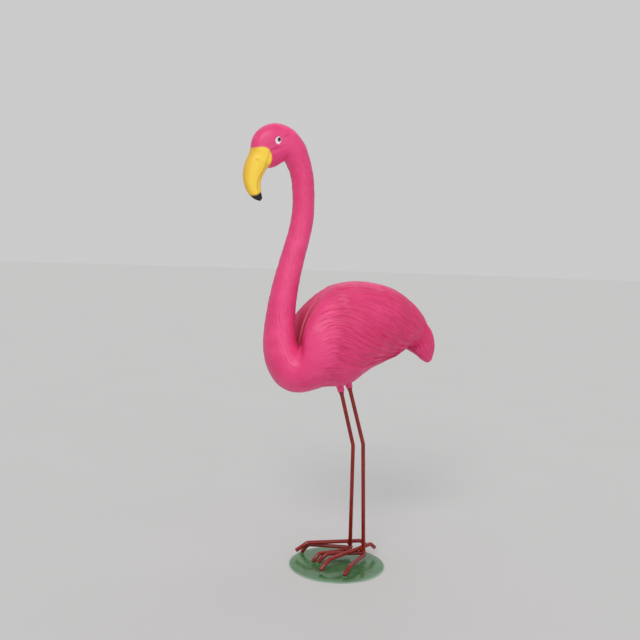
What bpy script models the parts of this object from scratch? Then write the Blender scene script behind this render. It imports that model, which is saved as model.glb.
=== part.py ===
"""Plastic flamingo garden ornament on a steel wire stand.

Metres, +Z up. The origin is the centre of the base disc's underside. The bird looks along -X, so its left
side is toward -Y. The bird is one moulding, and each leg is a rod pushed up into a socket under the belly.
"""
import math
from collections import namedtuple

import bmesh
import bpy
import numpy as np
from mathutils import Matrix, Vector

# Bird
BIRD_HEIGHT = 0.523
BELLY_HEIGHT = 0.3565
BIRD_X = -0.002
BIRD_Y = 0.015
EYE_WIDTH = 0.013
EYE_HEIGHT = 0.016
EYE_RISE = 0.0016
FEATHERS_PER_SIDE = 16
FEATHER_RISE = 0.0022
FEATHER_ROW_RISE = 0.0015
TAIL_STEP = 0.0028
SHOULDER_SWELL = 0.015

# Leg sockets, moulded on the bird's centre line one behind the other
SOCKET_X = 0.012
SOCKET_SPACING = 0.018
SOCKET_REACH = 0.0125
SOCKET_WALL = 0.0025
SOCKET_DEPTH = 0.035
SOCKET_CLEARANCE = 0.0003
ROD_END_GAP = 0.002

# Legs
LEG_DIAMETER = 0.008
COLLAR_DIAMETER = 0.0108
COLLAR_LENGTH = 0.008
KNEE_SHARE = 0.345
KNEE_BACK = 0.0195
KNEE_BEND_RADIUS = 0.022
FEET_X = 0.0495
FEET_STAGGER = 0.016
FEET_SPREAD = 0.035

# Toes
TOE_DIAMETER = 0.008
SIDE_TOE_HEIGHT = 0.015
SIDE_TOE_REACH = 0.077
RIGHT_OUTER_TOE_REACH = 0.088
LEFT_INNER_TOE_RISE = 0.0045
RIGHT_OUTER_TOE_RISE = 0.005
RIGHT_INNER_TOE_RISE = 0.003
LEFT_SIDE_TOE_TIP = 0.024
RIGHT_SIDE_TOE_TIP = 0.020
SIDE_TOE_BEND_RADIUS = 0.007
LEFT_LONG_TOE_HEIGHT = 0.0252
LEFT_LONG_TOE_FALL = 0.003
RIGHT_LONG_TOE_HEIGHT = 0.028
LONG_TOE_REACH = 0.090
LONG_TOE_TIP_REACH = 0.024
LONG_TOE_TIP_DROP = 0.016
LEFT_BACK_TOE_REACH = 0.031
RIGHT_BACK_TOE_REACH = 0.025
BACK_TOE_TIP_REACH = 0.013
BACK_TOE_TIP_DROP = 0.011
TOE_BEND_RADIUS = 0.012

# Base disc
BASE_DIAMETER = 0.195
BASE_THICKNESS = 0.003
BASE_EDGE_THICKNESS = 0.0014
BASE_EDGE_BAND = 0.010

# Where one piece touches the next, this gap stays between them. A leg's end is a little higher over the side
# toes' wire, which climbs toward their bends
TOUCH_GAP = 0.0003
FOOT_GAP = 0.0007

# Fineness of the faceted surfaces
HEAD_ROWS = 27
NECK_ROWS = 12
BODY_ROWS = 35
EYE_SIDES = 14
EYE_ROWS = 8
SOCKET_SIDES = 20
ROD_BEVEL_STEPS = 3
BEND_STEPS = 4
BASE_SIDES = 56
BASE_EDGE_STEPS = 2
SHARP_ANGLE = math.radians(40)
MERGE_DISTANCE = 0.00005

# How many places along the bird, or round it, are tried where a point of its surface is looked for
SEARCH_STEPS = 200

# One section across the bird, in thousandths of its height. back and front are its ends on the bird's middle
# plane as (x, z), z counted up from the lowest point of the belly. half is the half width, widest is how far
# the widest point lies toward the back end, and square is 2 for an ellipse and more for a squarer section.
Section = namedtuple("Section", "name back front half widest square", defaults=(0.0, 2.0))
SECTIONS = (
    Section("beak tip", (-335, 715), (-328, 726), 7, 0.0, 2.2),
    Section("hook", (-353, 720), (-332, 743), 12, 0.0, 2.2),
    Section("beak low", (-374, 735), (-335, 764), 16, 0.0, 2.2),
    Section("beak bend", (-390, 760), (-336, 781), 20, 0.0, 2.3),
    Section("beak middle", (-399, 793), (-332, 801), 25, 0.0, 2.3),
    Section("beak high", (-399, 826), (-323, 822), 30, 0.0, 2.3),
    Section("beak root", (-389, 862), (-309, 840), 35, 0.0, 2.3),
    Section("brow foot", (-373, 900), (-297, 838), 40, 0.0, 2.3),
    Section("brow", (-372, 921), (-288, 841), 43, 0.05, 2.3),
    Section("forehead", (-364, 948), (-280, 844), 46, 0.08, 2.3),
    Section("forehead top", (-347, 971), (-272, 849), 49, 0.1, 2.3),
    Section("crown front", (-320, 990), (-265, 854), 51, 0.1, 2.3),
    Section("crown", (-288, 999), (-257, 859), 52, 0.1, 2.3),
    Section("crown back", (-253, 995), (-249, 864), 52, 0.1, 2.3),
    Section("head back", (-222, 982), (-244, 866), 51, 0.1, 2.25),
    Section("nape top", (-198, 962), (-238, 860), 49, 0.08, 2.2),
    Section("nape", (-174, 933), (-231, 847), 46, 0.05, 2.1),
    Section("neck top", (-157, 896), (-222, 829), 43),
    Section("neck upper", (-142, 849), (-215, 806), 41),
    Section("neck arch", (-131, 789), (-210, 770), 40),
    Section("neck slim", (-128, 728), (-206, 722), 40),
    Section("neck middle", (-129, 655), (-210, 659), 40),
    Section("neck sway", (-142, 582), (-224, 593), 41),
    Section("neck lower", (-159, 511), (-244, 523), 44),
    Section("neck low", (-174, 440), (-265, 450), 48),
    Section("neck wide", (-185, 371), (-283, 373), 52),
    Section("neck broad", (-190, 310), (-296, 302), 56),
    Section("neck foot", (-190, 256), (-303, 241), 61),
    Section("breast top", (-187, 218), (-305, 189), 69),
    Section("breast", (-180, 193), (-300, 141), 79),
    Section("breast low", (-174, 181), (-286, 93), 90),
    Section("keel", (-169, 183), (-263, 51), 102, 0.02),
    Section("shoulder foot", (-166, 198), (-232, 20), 113, 0.08, 2.05),
    Section("shoulder front", (-161, 223), (-201, 5), 125, 0.12, 2.1),
    Section("shoulder rise", (-153, 256), (-173, 1), 134, 0.14, 2.15),
    Section("shoulder", (-140, 292), (-144, 3), 142, 0.15, 2.15),
    Section("shoulder top", (-117, 335), (-111, 11), 150, 0.15, 2.15),
    Section("back front", (-81, 379), (-77, 21), 155, 0.15, 2.1),
    Section("back rise", (-29, 410), (-38, 22), 157, 0.15, 2.05),
    Section("back", (29, 424), (0, 20), 157, 0.15),
    Section("back top", (86, 426), (42, 35), 153, 0.15),
    Section("back fall", (140, 419), (82, 65), 146, 0.15),
    Section("rump", (196, 404), (123, 91), 132, 0.15),
    Section("rump fall", (247, 378), (165, 109), 115, 0.14),
    Section("rump low", (293, 344), (205, 126), 96, 0.12),
    Section("wing end", (334, 304), (242, 149), 75, 0.1),
    Section("tail root", (364, 258), (270, 166), 56, 0.05),
    Section("tail", (384, 220), (297, 154), 41, 0.0, 2.1),
    Section("tail low", (395, 183), (328, 137), 31, 0.0, 2.1),
    Section("tail end", (398, 152), (353, 117), 21, 0.0, 2.1),
    Section("tail tip", (393, 124), (374, 107), 12, 0.0, 2.1),
)
THOUSAND = 1000.0

# The eye's place on the side of the head, in thousandths of the bird's height
EYE_PLACE = (-285, 933)

# The feather lines sink from the shoulder to the wing's end by this share of the way round, most at the
# sides. Over the breast they rise by half as much
FEATHER_SINK = 0.45

# Rows of feathers end at these shares of the wing's length. At its end a row falls to the next one over
# FEATHER_ROW_FALL of the wing, and its feathers' tips reach FEATHER_TIP further than the grooves between them
FEATHER_ROW_ENDS = (0.34, 0.60, 0.82, 1.0)
FEATHER_ROW_FALL = 0.03
FEATHER_TIP = 0.045

# Ahead of this share of the wing's length the shoulder is smooth
FEATHER_START = 0.2

# The relief lies between these places on the way round from the back (0) to the belly (1). Each feather falls
# to the one below it over its last FEATHER_FALL
FEATHER_TOP = 0.04
FEATHER_BOTTOM = 0.80
FEATHER_FADE = 0.08
FEATHER_FALL = 0.25

# Behind the wing's end the tail lies lower. That step fades out between these shares of the wing's length,
# and between these places on the way round
TAIL_STEP_ENDS = (1.05, 1.25)
TAIL_STEP_SIDES = (0.45, 0.75)

# The shoulders swell forward beside the neck's foot: at this angle from the back, over this angle
SWELL_ANGLE = math.radians(49)
SWELL_SPREAD = math.radians(29)

# One leg: side is +1 for the right leg, which is toward +Y. outer and inner are its foot's side toes,
# side_tip is how long their ends are beyond the bends, and long is its long toe. turn is in degrees from
# straight ahead, inward for the inner toe and outward for the others. A toe's bend is higher by rise, or
# lower by fall, than the same wire at the leg
SideToe = namedtuple("SideToe", "turn reach rise")
LongToe = namedtuple("LongToe", "turn height fall back_reach")
Leg = namedtuple("Leg", "name side outer inner side_tip long")
LEGS = (
    Leg(
        "left", -1, SideToe(44.0, SIDE_TOE_REACH, 0.0), SideToe(2.0, SIDE_TOE_REACH, LEFT_INNER_TOE_RISE),
        LEFT_SIDE_TOE_TIP, LongToe(24.5, LEFT_LONG_TOE_HEIGHT, LEFT_LONG_TOE_FALL, LEFT_BACK_TOE_REACH),
    ),
    Leg(
        "right", 1, SideToe(17.5, RIGHT_OUTER_TOE_REACH, RIGHT_OUTER_TOE_RISE),
        SideToe(10.5, SIDE_TOE_REACH, RIGHT_INNER_TOE_RISE),
        RIGHT_SIDE_TOE_TIP, LongToe(8.0, RIGHT_LONG_TOE_HEIGHT, 0.0, RIGHT_BACK_TOE_REACH),
    ),
)

# colour, roughness, metallic
PINK = ((0.76, 0.085, 0.235, 1.0), 0.45, 0.0)
RED = ((0.30, 0.022, 0.014, 1.0), 0.35, 0.0)
GREEN = ((0.10, 0.24, 0.105, 1.0), 0.3, 0.0)


def clear_scene():
    for obj in list(bpy.data.objects):
        bpy.data.objects.remove(obj, do_unlink=True)


def material(name, look):
    colour, roughness, metallic = look
    made = bpy.data.materials.new(name)
    made.use_nodes = True
    shader = made.node_tree.nodes["Principled BSDF"]
    shader.inputs["Base Color"].default_value = colour
    shader.inputs["Roughness"].default_value = roughness
    shader.inputs["Metallic"].default_value = metallic
    return made


def smooth_step(value):
    value = np.clip(value, 0.0, 1.0)
    return value * value * (3.0 - 2.0 * value)


def fade_out(value, start, end):
    """1 up to start and 0 from end on."""
    return smooth_step((end - value) / (end - start))


def spline(knots, values, places):
    """A smooth curve through values at uneven knots, read at places."""
    spans = np.diff(knots)[:, None]
    chords = np.diff(values, axis=0) / spans
    slopes = np.empty_like(values)
    slopes[0] = chords[0]
    slopes[-1] = chords[-1]
    slopes[1:-1] = (chords[:-1] * spans[1:] + chords[1:] * spans[:-1]) / (spans[1:] + spans[:-1])
    index = np.clip(np.searchsorted(knots, places, side="right") - 1, 0, len(knots) - 2)
    span = spans[index]
    part = (places - knots[index])[..., None] / span
    start_weight = 2 * part**3 - 3 * part**2 + 1
    end_weight = 1 - start_weight
    start_pull = (part**3 - 2 * part**2 + part) * span
    end_pull = (part**3 - part**2) * span
    return (
        start_weight * values[index]
        + end_weight * values[index + 1]
        + start_pull * slopes[index]
        + end_pull * slopes[index + 1]
    )


def section_table():
    """Each section's place along the bird, and its numbers in metres."""
    scale = BIRD_HEIGHT / THOUSAND
    values = np.array(
        [
            [*(scale * c for c in (*s.back, *s.front, s.half)), s.widest, s.square]
            for s in SECTIONS
        ]
    )
    back_steps = np.hypot(*np.diff(values[:, 0:2], axis=0).T)
    front_steps = np.hypot(*np.diff(values[:, 2:4], axis=0).T)
    knots = np.concatenate([[0.0], np.cumsum((back_steps + front_steps) / 2)])
    return knots, values


def knot_of(name):
    knots, _ = section_table()
    return knots[[s.name for s in SECTIONS].index(name)]


def way_along(places, first, last):
    """0 at the section called first and 1 at the one called last."""
    start = knot_of(first)
    return (places - start) / (knot_of(last) - start)


def feather_angle(places, across):
    """Angle round each section, 0 at the back and pi at the belly, that the feather lines have."""
    breast = smooth_step(way_along(places, "neck broad", "shoulder foot"))
    wing = smooth_step(way_along(places, "shoulder foot", "tail root"))
    return math.pi * (across + FEATHER_SINK * np.sin(math.pi * across) ** 2 * (wing - breast / 2))


def bird_surface(places, across, sides):
    """Points of the bare surface. across runs from 0 (back) to 1 (belly). sides is -1 (left) or +1."""
    knots, values = section_table()
    at = np.moveaxis(spline(knots, values, places), -1, 0)
    back_x, back_z, front_x, front_z, half, widest, square = at
    angle = feather_angle(places, across)
    power = 2.0 / square
    cosine, sine = np.cos(angle), np.sin(angle)
    along = np.sign(cosine) * np.abs(cosine) ** power
    along = along + widest * (1.0 - along**2)
    x = (back_x + front_x) / 2 + (back_x - front_x) / 2 * along
    y = half * np.abs(sine) ** power * sides
    z = (back_z + front_z) / 2 + (back_z - front_z) / 2 * along
    rise = smooth_step(way_along(places, "keel", "shoulder"))
    fall = smooth_step(1.0 - way_along(places, "shoulder", "back rise"))
    bump = np.exp(-(((angle - SWELL_ANGLE) / SWELL_SPREAD) ** 2))
    rest = math.exp(-((SWELL_ANGLE / SWELL_SPREAD) ** 2)) * np.exp(-((angle / SWELL_SPREAD) ** 2))
    return np.stack([x - SHOULDER_SWELL * rise * fall * (bump - rest), y, z], axis=-1)


def surface_normals(points):
    """Outward directions at a grid of points whose columns close round the bird."""
    down = np.gradient(points, axis=0)
    round_ = np.roll(points, -1, axis=1) - np.roll(points, 1, axis=1)
    normals = np.cross(round_, down)
    return normals / np.maximum(np.linalg.norm(normals, axis=-1, keepdims=True), 1e-9)


def feather_spread(across):
    """1 where the wing has feathers and 0 on the back and the belly."""
    below_back = smooth_step((across - FEATHER_TOP) / FEATHER_FADE)
    return below_back * fade_out(across, FEATHER_BOTTOM - FEATHER_FADE, FEATHER_BOTTOM)


def feather_profile(across):
    """Height across the feathers: each rises from 0 at its upper side to 1 near its lower edge."""
    in_feather = (across * FEATHERS_PER_SIDE) % 1.0
    return np.interp(in_feather, [0.0, 1.0 - FEATHER_FALL, 1.0], [0.0, 1.0, 0.0])


def feather_row_stops():
    """Shares of the wing's length where each row of feathers is highest and where the next one begins."""
    stops = []
    for row_end in FEATHER_ROW_ENDS:
        stops += [row_end - FEATHER_ROW_FALL / 2, row_end + FEATHER_ROW_FALL / 2]
    return stops


def feather_relief(places, across):
    """Height of the feathers over the bare surface: rows that overlap like tiles, each cut into feathers."""
    wing = way_along(places, "shoulder foot", "tail root")
    row = np.interp(wing, [0.0, *feather_row_stops()], [0.0, *[1.0, 0.0] * len(FEATHER_ROW_ENDS)])
    height = FEATHER_RISE * (feather_profile(across) - 0.5) + FEATHER_ROW_RISE * (row - 0.5)
    grown = smooth_step((wing - FEATHER_START) / (FEATHER_ROW_ENDS[0] - FEATHER_START))
    grown = grown * fade_out(wing, 1.0, 1.0 + FEATHER_ROW_FALL)
    tail = smooth_step((wing - 1.0) / FEATHER_ROW_FALL) * fade_out(wing, *TAIL_STEP_ENDS)
    return feather_spread(across) * grown * height - TAIL_STEP * tail * fade_out(across, *TAIL_STEP_SIDES)


def reach_of_tips(places, across):
    """How far along the bird the sections are pulled at each column, which gives the feathers their tips."""
    wing = way_along(places, "shoulder foot", "tail root")
    zone = smooth_step(wing / FEATHER_ROW_ENDS[0]) * smooth_step(way_along(places, "tail tip", "tail root"))
    length = knot_of("tail root") - knot_of("shoulder foot")
    return length * FEATHER_TIP * zone * feather_spread(across) * feather_profile(across)


def ring_columns(shares):
    """Where the columns lie round a section, and which side each is on. Each feather has them at shares."""
    feathers = range(FEATHERS_PER_SIDE)
    half_ring = [(feather + share) / FEATHERS_PER_SIDE for feather in feathers for share in shares]
    across = np.array([*half_ring, 1.0, *half_ring[:0:-1]])
    sides = np.array([1.0] * (len(half_ring) + 1) + [-1.0] * (len(half_ring) - 1))
    return across, sides


def body_places():
    """Where the body's sections are cut: evenly, with one at the end and at the start of each feather row."""
    wing_start, wing_end = knot_of("shoulder foot"), knot_of("tail root")
    in_wing = [wing_start + stop * (wing_end - wing_start) for stop in feather_row_stops()]
    stops = [knot_of("neck foot"), wing_start, *in_wing, knot_of("tail tip")]
    places = [stops[0]]
    for start, end in zip(stops, stops[1:]):
        rows = max(1, round(BODY_ROWS * (end - start) / (stops[-1] - stops[0])))
        places += list(np.linspace(start, end, rows + 1)[1:])
    return np.array(places)


def bird_rows(places, shares):
    across, sides = ring_columns(shares)
    places = places[:, None]
    points = bird_surface(places + reach_of_tips(places, across), across, sides)
    return points + surface_normals(points) * feather_relief(places, across)[..., None]


def bridge_rows(mesh, upper, lower):
    """Faces between two rings. The lower ring may have twice the upper one's vertices."""
    count = len(upper)
    if len(lower) == count:
        for i in range(count):
            j = (i + 1) % count
            mesh.faces.new((upper[i], upper[j], lower[j], lower[i]))
        return
    for i in range(count):
        j = (i + 1) % count
        left, middle, right = lower[2 * i], lower[2 * i + 1], lower[(2 * i + 2) % len(lower)]
        mesh.faces.new((upper[i], middle, left))
        mesh.faces.new((upper[i], upper[j], middle))
        mesh.faces.new((upper[j], right, middle))


def link_mesh(name, mesh, look):
    bmesh.ops.recalc_face_normals(mesh, faces=mesh.faces)
    data = bpy.data.meshes.new(name)
    mesh.to_mesh(data)
    mesh.free()
    data.shade_smooth()
    data.set_sharp_from_angle(angle=SHARP_ANGLE)
    obj = bpy.data.objects.new(name, data)
    obj.data.materials.append(material(name, look))
    bpy.context.collection.objects.link(obj)
    return obj


def bird_body():
    """The moulded bird without its sockets and eyes, as one closed skin from the beak to the tail."""
    head_places = np.linspace(knot_of("beak tip"), knot_of("neck top"), HEAD_ROWS)
    neck_places = np.linspace(knot_of("neck top"), knot_of("neck foot"), NECK_ROWS)
    head = bird_rows(head_places, [0.0])
    neck = bird_rows(neck_places, [0.0])[1:]
    body = bird_rows(body_places(), [0.0, 1.0 - FEATHER_FALL])[1:]
    mesh = bmesh.new()
    rings = [[mesh.verts.new(p) for p in row] for rows in (head, neck, body) for row in rows]
    for upper, lower in zip(rings, rings[1:]):
        bridge_rows(mesh, upper, lower)
    mesh.faces.new(rings[0])
    mesh.faces.new(rings[-1])
    return link_mesh("bird", mesh, PINK)


def belly_height_at(x):
    """Height of the belly's centre line over the ground at x, both in the part's frame."""
    places = np.linspace(knot_of("shoulder front"), knot_of("tail root"), SEARCH_STEPS)
    knots, values = section_table()
    line = spline(knots, values, places)[:, 2:4]
    return BELLY_HEIGHT + float(np.interp(x - BIRD_X, line[:, 0], line[:, 1]))


def side_of_head(x, z):
    """Half width of the bare head at a point given in the bird's own frame."""
    places = np.linspace(knot_of("brow"), knot_of("nape"), SEARCH_STEPS)[:, None]
    across = np.linspace(0.0, 1.0, SEARCH_STEPS)
    points = bird_surface(places, across, 1.0).reshape(-1, 3)
    nearest = np.argmin((points[:, 0] - x) ** 2 + (points[:, 2] - z) ** 2)
    return float(points[nearest, 1])


def cylinder(name, start, end, radius):
    """A closed cylinder from start to end."""
    axis = end - start
    mesh = bmesh.new()
    turn = axis.to_track_quat("Z", "Y").to_matrix().to_4x4()
    place = Matrix.Translation((start + end) / 2) @ turn
    bmesh.ops.create_cone(
        mesh, cap_ends=True, segments=SOCKET_SIDES, radius1=radius, radius2=radius, depth=axis.length,
        matrix=place,
    )
    return link_mesh(name, mesh, PINK)


def boolean(target, tool, operation):
    tool.hide_render = True
    tool.display_type = "WIRE"
    step = target.modifiers.new(tool.name, "BOOLEAN")
    step.operation = operation
    step.solver = "EXACT"
    step.object = tool


def leg_points(leg):
    """Socket mouth, knee and foot of a leg, on the rod's centre line."""
    socket_x = SOCKET_X - leg.side * SOCKET_SPACING / 2
    mouth = Vector((socket_x, BIRD_Y, belly_height_at(socket_x) - SOCKET_REACH))
    foot_z = BASE_THICKNESS + SIDE_TOE_HEIGHT + TOE_DIAMETER / 2 + FOOT_GAP
    foot = Vector((FEET_X - leg.side * FEET_STAGGER / 2, BIRD_Y + leg.side * FEET_SPREAD / 2, foot_z))
    knee = mouth.lerp(foot, KNEE_SHARE) + Vector((KNEE_BACK, 0, 0))
    return mouth, knee, foot


def socket_axis(leg):
    """Direction from a socket's mouth up into the bird."""
    mouth, knee, _ = leg_points(leg)
    return (mouth - knee).normalized()


def add_sockets(bird):
    bore = LEG_DIAMETER / 2 + SOCKET_CLEARANCE
    for leg in LEGS:
        mouth, _, _ = leg_points(leg)
        axis = socket_axis(leg)
        boss = cylinder(f"{leg.name}_boss", mouth, mouth + axis * SOCKET_DEPTH, bore + SOCKET_WALL)
        boolean(bird, boss, "UNION")
    for leg in LEGS:
        mouth, _, _ = leg_points(leg)
        axis = socket_axis(leg)
        hole = cylinder(f"{leg.name}_bore", mouth - axis * SOCKET_WALL, mouth + axis * SOCKET_DEPTH, bore)
        boolean(bird, hole, "DIFFERENCE")


def add_eyes(bird):
    x = EYE_PLACE[0] * BIRD_HEIGHT / THOUSAND
    z = EYE_PLACE[1] * BIRD_HEIGHT / THOUSAND
    half_width = side_of_head(x, z)
    for side in (-1, 1):
        mesh = bmesh.new()
        bmesh.ops.create_uvsphere(mesh, u_segments=EYE_SIDES, v_segments=EYE_ROWS, radius=1.0)
        bmesh.ops.rotate(mesh, verts=mesh.verts, matrix=Matrix.Rotation(math.pi / 2, 3, "X"))
        bmesh.ops.scale(mesh, verts=mesh.verts, vec=(EYE_WIDTH / 2, 2 * EYE_RISE, EYE_HEIGHT / 2))
        place = Vector((x + BIRD_X, BIRD_Y + side * (half_width - EYE_RISE), z + BELLY_HEIGHT))
        bmesh.ops.translate(mesh, verts=mesh.verts, vec=place)
        eye = link_mesh(f"eye_{'left' if side < 0 else 'right'}", mesh, PINK)
        boolean(bird, eye, "UNION")


def round_corners(corners, radii):
    """A path through the corners, each inner one rounded to its own radius."""
    path = [corners[0]]
    for before, corner, after, radius in zip(corners, corners[1:], corners[2:], radii):
        inward = (before - corner).normalized()
        outward = (after - corner).normalized()
        half_angle = inward.angle(outward) / 2
        setback = radius / math.tan(half_angle)
        centre = corner + (inward + outward).normalized() * (radius / math.sin(half_angle))
        start = corner + inward * setback - centre
        axis = inward.cross(outward).normalized()
        sweep = math.pi - 2 * half_angle
        for step in range(BEND_STEPS + 1):
            turned = Matrix.Rotation(-sweep * step / BEND_STEPS, 3, axis) @ start
            path.append(centre + turned)
    path.append(corners[-1])
    return path


def rod(name, path, radii):
    """A round rod along the path, with its own radius at each point."""
    data = bpy.data.curves.new(name, "CURVE")
    data.dimensions = "3D"
    data.bevel_depth = 1.0
    data.bevel_resolution = ROD_BEVEL_STEPS
    data.use_fill_caps = True
    line = data.splines.new("POLY")
    line.points.add(len(path) - 1)
    for point, place, radius in zip(line.points, path, radii):
        point.co = (*place, 1.0)
        point.radius = radius
    line.use_smooth = True
    obj = bpy.data.objects.new(name, data)
    obj.data.materials.append(material(name, RED))
    bpy.context.collection.objects.link(obj)
    return obj


def leg_rod(leg):
    """The leg's rod from inside its socket to the foot, with the collar that stops it under the socket."""
    mouth, knee, foot = leg_points(leg)
    axis = socket_axis(leg)
    top = mouth + axis * (SOCKET_DEPTH - ROD_END_GAP)
    lower = round_corners([top, knee, foot], [KNEE_BEND_RADIUS])
    stop = mouth - axis * TOUCH_GAP
    taper = stop - axis * COLLAR_LENGTH
    radius = LEG_DIAMETER / 2
    path = [top, stop + axis * TOUCH_GAP / 4, stop, taper, *lower[1:]]
    radii = [radius, radius, COLLAR_DIAMETER / 2, radius, *[radius] * (len(lower) - 1)]
    return rod(f"{leg.name}_leg", path, radii)


def heading(leg, turnout):
    """Directions on the ground: forward along a toe, and outward from the bird."""
    angle = math.radians(turnout)
    forward = Vector((-math.cos(angle), leg.side * math.sin(angle), 0))
    outward = Vector((math.sin(angle), leg.side * math.cos(angle), 0))
    return forward, outward


def side_toes(leg):
    """Inner and outer toe: one wire bent round under the leg's end, its tips bent down to the disc."""
    _, _, foot = leg_points(leg)
    radius = TOE_DIAMETER / 2
    under_foot = Vector((foot.x, foot.y, BASE_THICKNESS + SIDE_TOE_HEIGHT))
    up = Vector((0, 0, 1))
    forward, outward = heading(leg, (leg.outer.turn - leg.inner.turn) / 2)
    half_angle = math.radians((leg.outer.turn + leg.inner.turn) / 2)
    crotch_setback = SIDE_TOE_BEND_RADIUS * (1 / math.sin(half_angle) - 1)
    climb = (leg.outer.rise / leg.outer.reach + leg.inner.rise / leg.inner.reach) / 2
    crotch = under_foot - (forward + up * climb) * crotch_setback
    arms = []
    for toe, side in ((leg.outer, 1), (leg.inner, -1)):
        arm = forward * math.cos(half_angle) + outward * (side * math.sin(half_angle))
        bend = crotch + arm * (toe.reach + crotch_setback)
        bend.z = under_foot.z + toe.rise
        drop = bend.z - BASE_THICKNESS - TOUCH_GAP
        slope = math.asin((drop - radius) / leg.side_tip)
        tip_z = BASE_THICKNESS + TOUCH_GAP + radius * math.cos(slope)
        tip = Vector((*(bend + arm * leg.side_tip * math.cos(slope)).xy, tip_z))
        arms.append((bend, tip))
    (outer_bend, outer_tip), (inner_bend, inner_tip) = arms
    path = round_corners(
        [outer_tip, outer_bend, crotch, inner_bend, inner_tip],
        [TOE_BEND_RADIUS, SIDE_TOE_BEND_RADIUS, TOE_BEND_RADIUS],
    )
    return rod(f"{leg.name}_side_toes", path, [radius] * len(path))


def long_toe(leg):
    """Middle and back toe: one wire across the leg on its right, bent down at both ends."""
    _, knee, foot = leg_points(leg)
    radius = TOE_DIAMETER / 2
    height = BASE_THICKNESS + leg.long.height
    on_leg = foot.lerp(knee, (height - foot.z) / (knee.z - foot.z))
    forward, outward = heading(leg, leg.long.turn)
    beside = outward * leg.side * (LEG_DIAMETER / 2 + radius + TOUCH_GAP)
    crossing = on_leg + beside
    up = Vector((0, 0, 1))
    descent = up * (leg.long.fall / LONG_TOE_REACH)
    front_bend = crossing + (forward - descent) * LONG_TOE_REACH
    front_tip = front_bend + forward * LONG_TOE_TIP_REACH - up * LONG_TOE_TIP_DROP
    back_bend = crossing - (forward - descent) * leg.long.back_reach
    back_tip = back_bend - forward * BACK_TOE_TIP_REACH - up * BACK_TOE_TIP_DROP
    path = round_corners([front_tip, front_bend, back_bend, back_tip], [TOE_BEND_RADIUS] * 2)
    return rod(f"{leg.name}_long_toe", path, [radius] * len(path))


def base_disc():
    """Flat steel plate, its top bent down in a narrow band to a thin edge."""
    rim = BASE_DIAMETER / 2
    band = rim - BASE_EDGE_BAND
    edge = rim - BASE_EDGE_THICKNESS / 2
    profile = [(0.0, BASE_THICKNESS)]
    for step in range(BASE_EDGE_STEPS + 1):
        part = step / BASE_EDGE_STEPS
        drop = (BASE_THICKNESS - BASE_EDGE_THICKNESS) * part**2
        profile.append((band + (edge - band) * part, BASE_THICKNESS - drop))
    profile += [(rim, BASE_EDGE_THICKNESS / 2), (edge, 0.0), (0.0, 0.0)]
    mesh = bmesh.new()
    verts = [mesh.verts.new((x, 0, z)) for x, z in profile]
    edges = [mesh.edges.new(pair) for pair in zip(verts, verts[1:])]
    bmesh.ops.spin(
        mesh, geom=verts + edges, cent=(0, 0, 0), axis=(0, 0, 1), angle=2 * math.pi, steps=BASE_SIDES,
        use_merge=True,
    )
    bmesh.ops.remove_doubles(mesh, verts=mesh.verts, dist=MERGE_DISTANCE)
    return link_mesh("base_disc", mesh, GREEN)


def main():
    clear_scene()
    bird = bird_body()
    bird.location = (BIRD_X, BIRD_Y, BELLY_HEIGHT)
    add_sockets(bird)
    add_eyes(bird)
    for leg in LEGS:
        leg_rod(leg)
        long_toe(leg)
        side_toes(leg)
    base_disc()


main()
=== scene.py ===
"""The finished look of the plastic flamingo lawn ornament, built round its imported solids.

Metres, +Z up, in the frame of the solids: the origin is the centre of the base disc's
underside. The bird looks along -X, so its left side is toward -Y.
"""
import math
from collections import namedtuple

import bmesh
import bpy
import numpy as np
from mathutils import Matrix, Vector, noise


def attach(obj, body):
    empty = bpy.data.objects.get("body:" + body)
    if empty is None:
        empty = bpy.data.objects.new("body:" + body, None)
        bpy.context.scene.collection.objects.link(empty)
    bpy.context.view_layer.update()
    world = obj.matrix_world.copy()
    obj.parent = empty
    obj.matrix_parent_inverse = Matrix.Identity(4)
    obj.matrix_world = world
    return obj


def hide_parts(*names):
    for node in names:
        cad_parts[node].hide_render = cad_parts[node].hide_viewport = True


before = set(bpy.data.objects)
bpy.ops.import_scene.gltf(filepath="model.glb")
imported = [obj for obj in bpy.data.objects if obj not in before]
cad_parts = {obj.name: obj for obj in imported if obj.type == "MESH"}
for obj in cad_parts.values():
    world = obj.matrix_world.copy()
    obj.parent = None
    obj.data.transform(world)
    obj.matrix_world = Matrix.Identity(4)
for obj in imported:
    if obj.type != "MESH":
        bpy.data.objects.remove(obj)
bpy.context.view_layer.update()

# The photograph's view. The heading is from +X, counterclockwise, and the dip is below level.
# The lens and the sensor are in millimetres
CAMERA_PLACE = Vector((-0.5734, -1.4937, 0.6238))
CAMERA_HEADING = math.radians(70.775)
CAMERA_DIP = math.radians(4.4)
CAMERA_ROLL = math.radians(1.8)
CAMERA_LENS = 45.08
SENSOR_WIDTH = 36.0

# Broad soft lamps far away: the direction toward each, how wide it looks in degrees, its
# strength and its colour. The last one is the light that comes back up from the ground
Lamp = namedtuple("Lamp", "name toward width power colour")
LAMPS = (
    Lamp("key", (-0.50, -0.80, 0.66), 30, 1.28, (1.0, 0.985, 0.96)),
    Lamp("fill", (0.05, -0.98, 0.10), 50, 0.70, (0.97, 0.98, 1.0)),
    Lamp("back", (0.30, 0.45, 0.85), 60, 0.40, (1.0, 1.0, 1.0)),
    Lamp("bounce", (-0.05, -0.60, -0.75), 90, 0.45, (1.0, 0.99, 0.98)),
)
SKY = 0.60
SKY_WHITE = (1.0, 1.0, 1.0, 1.0)

# The floor's radius, the sides of its edge, how far it lies below the disc, its grey and how far
# the grey varies
FLOOR_RADIUS = 40.0
FLOOR_SIDES = 64
FLOOR_GAP = 0.0002
FLOOR_SHADE = 0.585
FLOOR_SHADE_SPREAD = 0.01

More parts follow.
